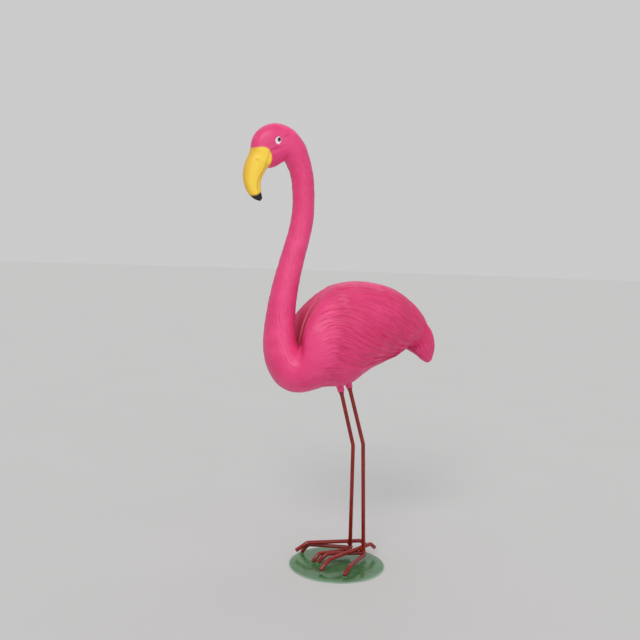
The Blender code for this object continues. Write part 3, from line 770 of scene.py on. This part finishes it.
def section_table():
    """Each section's place along the bird, and its numbers in metres."""
    scale = BIRD_HEIGHT / THOUSAND
    values = np.array(
        [
            [*(scale * c for c in (*s.back, *s.front, s.half)), s.widest, s.square]
            for s in SECTIONS
        ]
    )
    back_steps = np.hypot(*np.diff(values[:, 0:2], axis=0).T)
    front_steps = np.hypot(*np.diff(values[:, 2:4], axis=0).T)
    knots = np.concatenate([[0.0], np.cumsum((back_steps + front_steps) / 2)])
    return knots, values


def knot_of(name):
    """Place along the bird of the section called name."""
    knots, _ = section_table()
    return knots[[s.name for s in SECTIONS].index(name)]


def way_along(places, first, last):
    """0 at the section called first and 1 at the one called last."""
    start = knot_of(first)
    return (places - start) / (knot_of(last) - start)


def feather_angle(places, across):
    """Angle round each section that the feather lines have, 0 at the back and pi at the belly."""
    breast = smooth_step(way_along(places, "neck broad", "shoulder foot"))
    wing = smooth_step(way_along(places, "shoulder foot", "tail root"))
    return math.pi * (across + FEATHER_SINK * np.sin(math.pi * across) ** 2 * (wing - breast / 2))


def bird_surface(places, across, sides):
    """Points of the bare surface.

    across runs from 0 (back) to 1 (belly), and sides is -1 (left) or +1 (right).
    """
    knots, values = section_table()
    at = np.moveaxis(spline(knots, values, places), -1, 0)
    back_x, back_z, front_x, front_z, half, widest, square = at
    angle = feather_angle(places, across)
    power = 2.0 / square
    cosine, sine = np.cos(angle), np.sin(angle)
    along = np.sign(cosine) * np.abs(cosine) ** power
    along = along + widest * (1.0 - along**2)
    x = (back_x + front_x) / 2 + (back_x - front_x) / 2 * along
    y = half * np.abs(sine) ** power * sides
    z = (back_z + front_z) / 2 + (back_z - front_z) / 2 * along
    rise = smooth_step(way_along(places, "keel", "shoulder"))
    fall = smooth_step(1.0 - way_along(places, "shoulder", "back rise"))
    bump = np.exp(-(((angle - SWELL_ANGLE) / SWELL_SPREAD) ** 2))
    rest = math.exp(-((SWELL_ANGLE / SWELL_SPREAD) ** 2)) * np.exp(-((angle / SWELL_SPREAD) ** 2))
    return np.stack([x - SHOULDER_SWELL * rise * fall * (bump - rest), y, z], axis=-1)


def surface_normals(points):
    """Outward directions at a grid of points whose columns close round the bird."""
    down = np.gradient(points, axis=0)
    onward = np.roll(points, -1, axis=1) - np.roll(points, 1, axis=1)
    normals = np.cross(onward, down)
    return normals / np.maximum(np.linalg.norm(normals, axis=-1, keepdims=True), 1e-9)


def feather_spread(across):
    """1 where the wing has feathers and 0 on the back and the belly."""
    below_back = smooth_step((across - FEATHER_TOP) / FEATHER_FADE)
    return below_back * fade_out(across, FEATHER_BOTTOM - FEATHER_FADE, FEATHER_BOTTOM)


def feather_profile(across):
    """Height across the feathers: each rises from 0 at its upper side to 1 near its lower edge."""
    in_feather = (across * FEATHERS_PER_SIDE) % 1.0
    return np.interp(in_feather, [0.0, 1.0 - FEATHER_FALL, 1.0], [0.0, 1.0, 0.0])


def feather_row_stops():
    """Shares of the wing's length where each row of feathers is highest and the next one begins."""
    stops = []
    for row_end in FEATHER_ROW_ENDS:
        stops += [row_end - FEATHER_ROW_FALL / 2, row_end + FEATHER_ROW_FALL / 2]
    return stops


def wing_relief(places, across):
    """Height of the feathers over the bare surface: rows like tiles, each cut into feathers."""
    wing = way_along(places, "shoulder foot", "tail root")
    row_heights = [0.0, *[1.0, 0.0] * len(FEATHER_ROW_ENDS)]
    row = np.interp(wing, [0.0, *feather_row_stops()], row_heights)
    height = FEATHER_RISE * (feather_profile(across) - 0.5) + FEATHER_ROW_RISE * (row - 0.5)
    grown = smooth_step((wing - FEATHER_START) / (FEATHER_ROW_ENDS[0] - FEATHER_START))
    grown = grown * fade_out(wing, 1.0, 1.0 + FEATHER_ROW_FALL)
    tail = smooth_step((wing - 1.0) / FEATHER_ROW_FALL) * fade_out(wing, *TAIL_STEP_ENDS)
    step = TAIL_STEP * tail * fade_out(across, *TAIL_STEP_SIDES)
    return feather_spread(across) * grown * height - step


def stroke_shape(places, begin, length, width):
    """The rows that one stroke reaches, and how deep it is in each as a share of its depth."""
    part = np.clip((places - begin) / length, 0.0, 1.0)
    beyond = np.maximum(begin - places, places - begin - length)
    rows = np.nonzero(beyond < width * END_REACH)[0]
    middle = 1.0 - END_RISE * np.abs(2.0 * part - 1.0) ** 3
    ends = middle * np.exp(-((np.maximum(beyond, 0.0) / width) ** 2))
    return rows, ends[rows, None]


def carved_strokes(places, across, points, zones, seed):
    """How deep the strokes lie at one half's points. Each stroke follows one column of points."""
    steps = np.linalg.norm(np.diff(points, axis=1), axis=-1)
    arcs = np.concatenate([np.zeros((len(places), 1)), np.cumsum(steps, axis=1)], axis=1)
    depths = np.zeros(arcs.shape)
    chance = np.random.default_rng(seed)
    for zone in zones:
        start, end = knot_of(zone.first), knot_of(zone.last)
        shift = 0.0
        while start < end:
            row = int(np.argmin(np.abs(places - start)))
            top, bottom = np.interp([zone.top, zone.bottom], across, arcs[row])
            count = max(1, round((bottom - top) / zone.spacing))
            for stroke in range(count):
                way = stroke + shift + chance.uniform(*STROKE_PLACES)
                arc = top + (bottom - top) * way / count
                column = int(np.argmin(np.abs(arcs[row] - arc)))
                length = zone.length * chance.uniform(*STROKE_LENGTHS)
                begin = start + zone.length * chance.uniform(*STROKE_STARTS)
                depth = zone.depth * chance.uniform(*STROKE_DEPTHS)
                rows, ends = stroke_shape(places, begin, length, zone.width)
                off = arcs[rows] - arcs[rows, column, None]
                cut = depth * ends * np.exp(-((off / zone.width) ** 2))
                depths[rows] = np.maximum(depths[rows], cut)
            start += zone.length * ROW_STEP
            shift = ROW_SHIFT - shift
    return depths


def reach_of_tips(places, across):
    """How far along the bird each column is pulled, which gives the feathers their tips."""
    wing = way_along(places, "shoulder foot", "tail root")
    zone = smooth_step(wing / FEATHER_ROW_ENDS[0])
    zone = zone * smooth_step(way_along(places, "tail tip", "tail root"))
    length = knot_of("tail root") - knot_of("shoulder foot")
    return length * FEATHER_TIP * zone * feather_spread(across) * feather_profile(across)


def half_ring(step):
    """Where the columns lie on the way round one half, every one or every second of them."""
    across = [
        (feather + share) / FEATHERS_PER_SIDE
        for feather in range(FEATHERS_PER_SIDE)
        for share in COLUMNS_IN_FEATHER
    ]
    across[1:3] = [SEAM_SHARE / 2, SEAM_SHARE]
    across[-2:] = [1.0 - SEAM_SHARE, 1.0 - SEAM_SHARE / 2]
    return np.array([*across, 1.0])[::step]


def head_places():
    """Where the sections of the head and the neck are cut, each evenly."""
    head = np.linspace(knot_of("beak tip"), knot_of("neck top"), HEAD_ROWS, endpoint=False)
    neck = np.linspace(knot_of("neck top"), knot_of("neck foot"), NECK_ROWS)
    return np.concatenate([head, neck])


def body_places():
    """Where the body's sections are cut: evenly, with one at each end of each feather row."""
    wing_start, wing_end = knot_of("shoulder foot"), knot_of("tail root")
    in_wing = [wing_start + stop * (wing_end - wing_start) for stop in feather_row_stops()]
    stops = [knot_of("neck foot"), wing_start, *in_wing, knot_of("tail tip")]
    places = []
    for start, end in zip(stops, stops[1:]):
        rows = max(1, round(BODY_ROWS * (end - start) / (stops[-1] - stops[0])))
        places += list(np.linspace(start, end, rows + 1)[1:])
    return np.array(places)


def on_head(point):
    """A place on the side of the head in metres, in the bird's own frame."""
    return np.array(point) * BIRD_HEIGHT / THOUSAND


def smooth_line(points):
    """A smooth line through points on the side of the head."""
    line = on_head(points)
    knots = np.concatenate([[0.0], np.cumsum(np.hypot(*np.diff(line, axis=0).T))])
    return spline(knots, line, np.linspace(0.0, knots[-1], PLACES_PER_POINT * len(points)))


def distance_to_line(x, z, line):
    """Distance from each point to the line, negative on the line's right as it runs."""
    nearest = np.full(x.shape, np.inf)
    signed = np.zeros(x.shape)
    for (start_x, start_z), (end_x, end_z) in zip(line, line[1:]):
        run_x, run_z = end_x - start_x, end_z - start_z
        part = ((x - start_x) * run_x + (z - start_z) * run_z) / (run_x**2 + run_z**2)
        part = np.clip(part, 0.0, 1.0)
        gap_x, gap_z = x - start_x - part * run_x, z - start_z - part * run_z
        gap = np.hypot(gap_x, gap_z)
        side = np.sign(run_x * gap_z - run_z * gap_x)
        closer = gap < nearest
        nearest = np.where(closer, gap, nearest)
        signed = np.where(closer, gap * side, signed)
    return signed


def oval(x, z, place, size, turn=0.0):
    """Distance from the place as a share of an oval's size: 1 on the oval."""
    centre_x, centre_z = on_head(place)
    along = (x - centre_x) * math.cos(turn) + (z - centre_z) * math.sin(turn)
    up = (z - centre_z) * math.cos(turn) - (x - centre_x) * math.sin(turn)
    return np.hypot(along / size[0], up / size[1])


def face(x, z, places):
    """The head's own relief, and the fields that its paint follows, from the place on its side."""
    whole = np.ones(x.shape)
    head = fade_out(places, knot_of("nape top"), knot_of("neck top")) * whole
    beak_edge = distance_to_line(x, z, smooth_line(BEAK_EDGE))
    tip_edge = distance_to_line(x, z, smooth_line(TIP_EDGE))
    on_beak = smooth_step(-beak_edge / BEAK_STEP + 0.5)
    relief = -BEAK_SINK * on_beak * fade_out(-beak_edge, BEAK_STEP, BEAK_SINK_REACH)

    mouth = np.exp(-((distance_to_line(x, z, smooth_line(MOUTH_LINE)) / MOUTH_WIDTH) ** 2))
    nostril = np.exp(-(oval(x, z, NOSTRIL, NOSTRIL_SIZE, NOSTRIL_TURN) ** 2))
    relief = relief - MOUTH_DEPTH * mouth
    relief = relief - NOSTRIL_DEPTH * nostril

    eye = oval(x, z, EYE, EYE_SIZE)
    eye_x, eye_z = on_head(EYE)
    corner = np.clip(-((x - eye_x) + (z - eye_z)) / EYE_SIZE[1], 0.0, 1.0)
    eye = eye - EYE_CORNER * corner**2
    relief = relief + EYE_RISE * np.sqrt(np.clip(1.0 - eye**2, 0.0, 1.0))
    relief = relief + EYELID_RISE * np.exp(-(((eye - EYELID_PLACE) / EYELID_WIDTH) ** 2))

    # Painted shade in the mouth line, the nostril and the deepest folds
    painted_crease_shade = np.maximum(mouth, nostril)
    for fold in FOLDS:
        size = (fold.along, fold.across)
        share = np.exp(-(oval(x, z, fold.place, size, math.radians(fold.turn)) ** 2))
        relief = relief + fold.rise * share
        if fold.rise < -CREASE_DEPTH:
            painted_crease_shade = np.maximum(painted_crease_shade, CREASE_SHADE * share)
    fields = {
        "painted_crease_shade": painted_crease_shade * head,
        "beak_edge": np.where(head > 0, beak_edge, 1.0),
        "tip_edge": np.where(places * whole < knot_of("beak middle"), tip_edge, 1.0),
        "eye_edge": np.where(head > 0, eye - 1.0, 1.0),
        "pupil_edge": np.where(head > 0, oval(x, z, PUPIL, PUPIL_SIZE) - 1.0, 1.0),
    }
    return relief * head, fields


def tube_mesh(path, radii, sides):
    """Points and faces of a closed round tube along the path."""
    path = [Vector(point) for point in path]
    points, faces = [], []
    ways = [(b - a).normalized() for a, b in zip(path, path[1:])]
    turn = ways[0].to_track_quat("Z", "Y")
    before = ways[0]
    for index, (place, radius) in enumerate(zip(path, radii)):
        way = (ways[max(index - 1, 0)] + ways[min(index, len(ways) - 1)]).normalized()
        turn = before.rotation_difference(way) @ turn
        before = way
        for side in range(sides):
            angle = 2 * math.pi * side / sides
            spoke = Vector((radius * math.cos(angle), radius * math.sin(angle), 0.0))
            points.append(place + turn @ spoke)
    for ring in range(len(path) - 1):
        for side in range(sides):
            after = (side + 1) % sides
            start, end = ring * sides, (ring + 1) * sides
            faces.append((start + side, start + after, end + after, end + side))
    faces.append(tuple(reversed(range(sides))))
    faces.append(tuple(range((len(path) - 1) * sides, len(path) * sides)))
    return points, faces


def add_piece(name, points, faces, look, nodes, fields=None):
    """A shown piece that rides on the part and stands for its solids, if nodes names any."""
    data = bpy.data.meshes.new(name)
    data.from_pydata([tuple(point) for point in points], [], faces)
    for field, values in (fields or {}).items():
        layer = data.attributes.new(field, "FLOAT", "POINT")
        layer.data.foreach_set("value", values.astype(np.float32))
    data.shade_smooth()
    data.set_sharp_from_angle(angle=SHARP_ANGLE)
    piece = bpy.data.objects.new(name, data)
    data.materials.append(look)
    bpy.context.collection.objects.link(piece)
    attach(piece, "root")
    if nodes:
        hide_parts(*nodes)


def paint_fields(rows, across, sides):
    """What the paint follows along the bird and round it, as values at the skin's points."""
    whole = np.ones((rows + across).shape)
    from_seam = np.minimum(across, 1.0 - across)
    on_back = across < 0.5
    notch = smooth_step(way_along(rows, "breast top", "keel"))
    notch = notch * fade_out(rows, knot_of("shoulder rise"), knot_of("back front"))
    wing = way_along(rows, "shoulder foot", "tail root")
    wing = smooth_step((wing - WING_PAINT_START) / WING_PAINT_FADE)
    below_back = smooth_step((across - WING_PAINT_TOP) / WING_PAINT_FADE)
    hair_knots = [knot_of(name) for name in ("brow foot", "crown", "nape")]
    return {
        # Where painted shade goes, in the notch behind the neck
        "notch": notch * fade_out(from_seam, *NOTCH_SHADE_EDGES) * on_back,
        # Where the painted highlight along the seam goes
        "notch_glint": fade_out(from_seam, *NOTCH_GLINT_EDGES) * notch * on_back,
        "wing": feather_spread(across) * below_back * wing,
        "hair": whole * np.interp(rows, hair_knots, HAIR_STRENGTHS),
        "beak_side": np.cos(feather_angle(rows, across)) * whole,
        "along": rows * whole,
        "across": (across + HAIR_SIDES * sides) * whole,
    }


def skin(places, half, zones, seed):
    """Points of the finished skin over rows of sections, closed round the bird, and its fields."""
    across = np.concatenate([half, half[-2:0:-1]])
    sides = np.array([1.0] * len(half) + [-1.0] * (len(half) - 2))
    rows = places[:, None]
    points = bird_surface(rows + reach_of_tips(rows, across), across, sides)
    right, left = (
        carved_strokes(places, half, points[:, : len(half)], zones, seed + side) for side in (0, 1)
    )
    strokes = np.concatenate([right, left[:, -2:0:-1]], axis=1)
    face_relief, face_fields = face(points[..., 0], points[..., 2], rows)
    from_seam = np.minimum(across, 1.0 - across)
    seam = SEAM_RISE * (fade_out(from_seam, 0.0, SEAM_SHARE) - 1.0)
    relief = wing_relief(rows, across) - strokes + face_relief + seam
    points = points + surface_normals(points) * relief[..., None]
    # The strokes' depth, which sets how much painted shade they get
    groove = {"groove": strokes / STROKE_DEEPEST}
    return points, face_fields | groove | paint_fields(rows, across, sides)


def ring_faces(first, rows, columns):
    """Faces between rows of vertices that close round, from the vertex first on."""
    index = first + np.arange(rows * columns).reshape(rows, columns)
    upper, lower = index[:-1], index[1:]
    corners = [upper, np.roll(upper, -1, axis=1), np.roll(lower, -1, axis=1), lower]
    return np.stack(corners, axis=-1).reshape(-1, 4).tolist()


def bridge_faces(upper, lower):
    """Faces between a ring of vertices and the next one, which has twice as many."""
    faces = []
    for i in range(len(upper)):
        j = (i + 1) % len(upper)
        left, middle, right = lower[2 * i], lower[2 * i + 1], lower[(2 * i + 2) % len(lower)]
        faces += [(upper[i], middle, left), (upper[i], upper[j], right, middle)]
    return faces


def add_bird(look):
    """The moulded bird, its two sockets with it."""
    head, head_fields = skin(head_places(), half_ring(2), HEAD_STROKES, HEAD_SEED)
    body, body_fields = skin(body_places(), half_ring(1), BODY_STROKES, BODY_SEED)
    head_round, body_round = head.shape[1], body.shape[1]
    head_end = head[..., 0].size
    body_end = head_end + body[..., 0].size
    last_of_head = range(head_end - head_round, head_end)
    first_of_body = range(head_end, head_end + body_round)
    faces = ring_faces(0, *head.shape[:2]) + ring_faces(head_end, *body.shape[:2])
    faces += bridge_faces(last_of_head, first_of_body)
    faces += [tuple(range(head_round))[::-1]]
    faces += [tuple(range(body_end - body_round, body_end))]
    points = np.concatenate([head.reshape(-1, 3), body.reshape(-1, 3)]) + np.array(BIRD_PLACE)
    fields = {
        name: np.concatenate([np.ravel(head_fields[name]), np.ravel(body_fields[name])])
        for name in head_fields
    }
    for leg in LEGS:
        socket, socket_faces = socket_mesh(leg)
        faces += [tuple(len(points) + i for i in corners) for corners in socket_faces]
        points = np.concatenate([points, np.array(socket)])
        for name in fields:
            plain = 1.0 if name.endswith("_edge") else 0.0
            fields[name] = np.concatenate([fields[name], np.full(len(socket), plain)])
    add_piece("flamingo", points, faces, look, ["bird"], fields)


def belly_height_at(x):
    """Height of the belly's centre line over the ground at x."""
    places = np.linspace(knot_of("shoulder front"), knot_of("tail root"), SEARCH_STEPS)
    knots, values = section_table()
    line = spline(knots, values, places)[:, 2:4]
    return BIRD_PLACE.z + float(np.interp(x - BIRD_PLACE.x, line[:, 0], line[:, 1]))


def leg_points(leg):
    """Socket mouth, knee and foot of a leg, on the rod's centre line."""
    socket_x = SOCKET_X - leg.side * SOCKET_SPACING / 2
    mouth = Vector((socket_x, BIRD_PLACE.y, belly_height_at(socket_x) - SOCKET_REACH))
    foot_x = FEET_X - leg.side * FEET_STAGGER / 2
    foot_y = BIRD_PLACE.y + leg.side * FEET_SPREAD / 2
    foot_z = BASE_THICKNESS + SIDE_TOE_HEIGHT + TOE_DIAMETER / 2 + FOOT_GAP
    foot = Vector((foot_x, foot_y, foot_z))
    knee = mouth.lerp(foot, KNEE_SHARE) + Vector((KNEE_BACK, 0, 0))
    return mouth, knee, foot


def socket_mesh(leg):
    """The moulded socket that the leg is pushed into, flared where it leaves the belly."""
    mouth, knee, _ = leg_points(leg)
    axis = (mouth - knee).normalized()
    bore = LEG_DIAMETER / 2 + SOCKET_CLEARANCE
    outer = bore + SOCKET_WALL
    profile = [(height, bore + more) for height, more in SOCKET_BORE]
    profile += [(height, outer + more) for height, more in SOCKET_OUTSIDE]
    turn = axis.to_track_quat("Z", "Y")
    points = []
    for height, radius in profile:
        for side in range(ROD_SIDES):
            angle = -2 * math.pi * side / ROD_SIDES
            spoke = Vector((radius * math.cos(angle), radius * math.sin(angle), height))
            points.append(mouth + turn @ spoke)
    faces = [tuple(corners) for corners in ring_faces(0, len(profile), ROD_SIDES)]
    last = (len(profile) - 1) * ROD_SIDES
    faces += [tuple(range(ROD_SIDES))[::-1], tuple(range(last, last + ROD_SIDES))]
    return points, faces


def round_corners(corners, radii):
    """A path through the corners, each inner one rounded to its own radius."""
    path = [corners[0]]
    for before, corner, after, radius in zip(corners, corners[1:], corners[2:], radii):
        inward = (before - corner).normalized()
        outward = (after - corner).normalized()
        half_angle = inward.angle(outward) / 2
        setback = radius / math.tan(half_angle)
        centre = corner + (inward + outward).normalized() * (radius / math.sin(half_angle))
        start = corner + inward * setback - centre
        axis = inward.cross(outward).normalized()
        sweep = math.pi - 2 * half_angle
        for step in range(BEND_STEPS + 1):
            turned = Matrix.Rotation(-sweep * step / BEND_STEPS, 3, axis) @ start
            path.append(centre + turned)
    path.append(corners[-1])
    return path


def add_rod(name, path, radius, look, start_rings=()):
    """A painted rod along the path, its cut ends slightly rounded.

    start_rings are the rings before the path's second point, as (place, radius), where they
    aren't those of a plain cut end.
    """
    first = (path[1] - path[0]).normalized()
    last = (path[-1] - path[-2]).normalized()
    cut_end = [(path[0], radius - ROD_CHAMFER), (path[0] + first * ROD_CHAMFER, radius)]
    rings = [*start_rings] or cut_end
    rings += [(point, radius) for point in path[1:-1]]
    rings += [(path[-1] - last * ROD_CHAMFER, radius), (path[-1], radius - ROD_CHAMFER)]
    points, faces = tube_mesh([place for place, _ in rings], [size for _, size in rings], ROD_SIDES)
    add_piece(f"{name}_rod", points, faces, look, [name])


def add_leg(leg, look):
    """The leg's rod, from inside its socket to the foot, with the collar under the socket."""
    mouth, knee, foot = leg_points(leg)
    axis = (mouth - knee).normalized()
    radius = LEG_DIAMETER / 2
    collar = COLLAR_DIAMETER / 2
    top = mouth + axis * LEG_TOP_REACH
    stop = mouth - axis * TOUCH_GAP
    path = round_corners([top, knee, foot], [KNEE_BEND_RADIUS])
    start_rings = [(top, radius), (stop + axis * COLLAR_STEP, radius)]
    start_rings += [(stop - axis * below, collar - less) for below, less in COLLAR_PROFILE]
    neck_below, neck_more = COLLAR_NECK
    start_rings += [(stop - axis * neck_below, radius + neck_more)]
    start_rings += [(stop - axis * COLLAR_LENGTH, radius)]
    add_rod(f"{leg.name}_leg", path, radius, look, start_rings)


def heading(leg, turnout):
    """Directions on the ground: forward along a toe, and outward from the bird."""
    angle = math.radians(turnout)
    forward = Vector((-math.cos(angle), leg.side * math.sin(angle), 0))
    outward = Vector((math.sin(angle), leg.side * math.cos(angle), 0))
    return forward, outward


def side_toe_corners(leg):
    """Corners of the wire that is bent into the side toes, from the outer tip to the inner one."""
    _, _, foot = leg_points(leg)
    radius = TOE_DIAMETER / 2
    under_foot = Vector((foot.x, foot.y, BASE_THICKNESS + SIDE_TOE_HEIGHT))
    up = Vector((0, 0, 1))
    forward, outward = heading(leg, (leg.outer.turn - leg.inner.turn) / 2)
    half_angle = math.radians((leg.outer.turn + leg.inner.turn) / 2)
    crotch_setback = SIDE_TOE_BEND_RADIUS * (1 / math.sin(half_angle) - 1)
    climb = (leg.outer.rise / leg.outer.reach + leg.inner.rise / leg.inner.reach) / 2
    crotch = under_foot - (forward + up * climb) * crotch_setback
    arms = []
    for toe, side in ((leg.outer, 1), (leg.inner, -1)):
        arm = forward * math.cos(half_angle) + outward * (side * math.sin(half_angle))
        bend = crotch + arm * (toe.reach + crotch_setback)
        bend.z = under_foot.z + toe.rise
        drop = bend.z - BASE_THICKNESS - TOUCH_GAP
        slope = math.asin((drop - radius) / leg.side_tip)
        tip_z = BASE_THICKNESS + TOUCH_GAP + radius * math.cos(slope)
        tip = Vector((*(bend + arm * leg.side_tip * math.cos(slope)).xy, tip_z))
        arms.append((bend, tip))
    (outer_bend, outer_tip), (inner_bend, inner_tip) = arms
    return [outer_tip, outer_bend, crotch, inner_bend, inner_tip]


def add_side_toes(leg, look):
    """The wire that is bent into the outer and the inner toe."""
    radii = [TOE_BEND_RADIUS, SIDE_TOE_BEND_RADIUS, TOE_BEND_RADIUS]
    path = round_corners(side_toe_corners(leg), radii)
    add_rod(f"{leg.name}_side_toes", path, TOE_DIAMETER / 2, look)


def long_toe_crossing(leg):
    """Where the long toe passes beside the leg: the place on the leg, and the one on the toe."""
    _, knee, foot = leg_points(leg)
    height = BASE_THICKNESS + leg.long.height
    on_leg = foot.lerp(knee, (height - foot.z) / (knee.z - foot.z))
    _, outward = heading(leg, leg.long.turn)
    apart = LEG_DIAMETER / 2 + TOE_DIAMETER / 2 + TOUCH_GAP
    return on_leg, on_leg + outward * leg.side * apart


def add_long_toe(leg, look):
    """The wire of the middle toe and the back toe, which lies across the side toes' wire."""
    _, crossing = long_toe_crossing(leg)
    forward, _ = heading(leg, leg.long.turn)
    up = Vector((0, 0, 1))
    descent = up * (leg.long.fall / LONG_TOE_REACH)
    front_bend = crossing + (forward - descent) * LONG_TOE_REACH
    front_tip = front_bend + forward * LONG_TOE_TIP_REACH - up * LONG_TOE_TIP_DROP
    back_bend = crossing - (forward - descent) * leg.long.back_reach
    back_tip = back_bend - forward * BACK_TOE_TIP_REACH - up * BACK_TOE_TIP_DROP
    path = round_corners([front_tip, front_bend, back_bend, back_tip], [TOE_BEND_RADIUS] * 2)
    add_rod(f"{leg.name}_long_toe", path, TOE_DIAMETER / 2, look)


def add_weld(name, place, size, look, seed, flat=False):
    """A lumpy bead of weld under the paint. A flat one ends just below its middle, on the plate."""
    mesh = bmesh.new()
    bmesh.ops.create_icosphere(mesh, subdivisions=WELD_FINENESS, radius=1.0)
    points = []
    for vert in mesh.verts:
        way = vert.co.copy()
        broad = noise.noise(way * BROAD_LUMPS.cells + Vector((seed, 0, 0)))
        fine = noise.noise(way * FINE_LUMPS.cells)
        lump = 1.0 + BROAD_LUMPS.rise * broad + FINE_LUMPS.rise * fine
        point = Vector((way.x * size[0], way.y * size[1], way.z * size[2])) * lump
        if flat:
            point.z = max(point.z, -TIP_WELD_SINK)
        points.append(place + point)
    faces = [tuple(vert.index for vert in corners.verts) for corners in mesh.faces]
    mesh.free()
    add_piece(name, points, faces, look, [])


def add_welds(red, green):
    """The welds where each foot's rods meet, and where its side toes stand on the plate."""
    for number, leg in enumerate(LEGS):
        on_leg, crossing = long_toe_crossing(leg)
        _, _, foot = leg_points(leg)
        joint = on_leg.lerp(crossing, 0.5)
        under_foot = foot - Vector((0, 0, FOOT_WELD_DROP))
        seed = JOINT_WELD.seed + JOINT_WELD.seed_step * number
        add_weld(f"{leg.name}_joint_weld", joint, JOINT_WELD.size, red, seed)
        seed = FOOT_WELD.seed + FOOT_WELD.seed_step * number
        add_weld(f"{leg.name}_foot_weld", under_foot, FOOT_WELD.size, red, seed)
        outer_tip, outer_bend, _, inner_bend, inner_tip = side_toe_corners(leg)
        toes = ((outer_tip, outer_bend, "outer"), (inner_tip, inner_bend, "inner"))
        for tip, bend, side in toes:
            way = Vector((*(tip - bend).xy, 0.0)).normalized()
            place = Vector((tip.x, tip.y, BASE_THICKNESS + TIP_WELD_SINK)) + way * TIP_WELD_AHEAD
            seed = TIP_WELD.seed + TIP_WELD.seed_step * number + (side == "inner")
            name = f"{leg.name}_{side}_tip_weld"
            add_weld(name, place, TIP_WELD.size, green, seed, flat=True)


def disc_profile():
    """The disc's outline from its middle to its underside: radius, height and share of painted
    highlight.
    """
    rim = BASE_DIAMETER / 2
    band = rim - BASE_EDGE_BAND
    edge = rim - BASE_EDGE_THICKNESS / 2
    radii = np.linspace(BASE_RING_MARGIN, band - BASE_RING_MARGIN, BASE_RINGS)
    profile = [(radius, BASE_THICKNESS, 0.0) for radius in radii]
    for part in np.linspace(0.0, 1.0, BASE_EDGE_RINGS):
        drop = (BASE_THICKNESS - BASE_EDGE_THICKNESS) * part**2
        wave = 1.0 - math.cos(part * EDGE_GROOVES * 2 * math.pi)
        groove = EDGE_GROOVE_DEPTH * wave * (1.0 - part)
        # Share of the painted highlight on the bent edge
        rim_highlight = smooth_step(part * EDGE_HIGHLIGHT_PARTS - (EDGE_HIGHLIGHT_PARTS - 1.0))
        profile.append((band + (edge - band) * part, BASE_THICKNESS - drop - groove, rim_highlight))
    half = BASE_EDGE_THICKNESS / 2
    for part in np.linspace(0.0, math.pi, BASE_RIM_STEPS)[1:]:
        profile.append((edge + half * math.sin(part), half + half * math.cos(part), 1.0))
    return [*profile, (band, 0.0, UNDERSIDE_HIGHLIGHT)]


def add_disc(look):
    """The round plate with its thin bent edge, turned from its outline."""
    profile = disc_profile()
    rings = len(profile)
    points = [(0.0, 0.0, BASE_THICKNESS)]
    rim_highlight_shares = [0.0]
    for radius, height, rim_highlight in profile:
        for side in range(BASE_SIDES):
            angle = 2 * math.pi * side / BASE_SIDES
            points.append((radius * math.cos(angle), radius * math.sin(angle), height))
            rim_highlight_shares.append(float(rim_highlight))
    faces = []
    for side in range(BASE_SIDES):
        after = (side + 1) % BASE_SIDES
        faces.append((0, 1 + side, 1 + after))
        for ring in range(rings - 1):
            start, end = 1 + ring * BASE_SIDES, 1 + (ring + 1) * BASE_SIDES
            faces.append((start + side, end + side, end + after, start + after))
    last = 1 + (rings - 1) * BASE_SIDES
    faces.append(tuple(reversed(range(last, last + BASE_SIDES))))
    fields = {"rim": np.array(rim_highlight_shares)}
    add_piece("green_disc", points, faces, look, ["base_disc"], fields)


def add_floor():
    """A pale floor just under the disc. It casts no shadow, so the bounce lamp reaches the bird."""
    data = bpy.data.meshes.new("floor")
    mesh = bmesh.new()
    bmesh.ops.create_circle(mesh, cap_ends=True, segments=FLOOR_SIDES, radius=FLOOR_RADIUS)
    mesh.to_mesh(data)
    mesh.free()
    data.materials.append(floor_look())
    floor = bpy.data.objects.new("floor", data)
    floor.location.z = -FLOOR_GAP
    floor.visible_shadow = False
    bpy.context.collection.objects.link(floor)


def main():
    set_camera()
    set_light()
    add_floor()
    pink, red, green = bird_look(), rod_look(), disc_look()
    add_bird(pink)
    for leg in LEGS:
        add_leg(leg, red)
        add_side_toes(leg, red)
        add_long_toe(leg, red)
    add_welds(red, green)
    add_disc(green)


main()
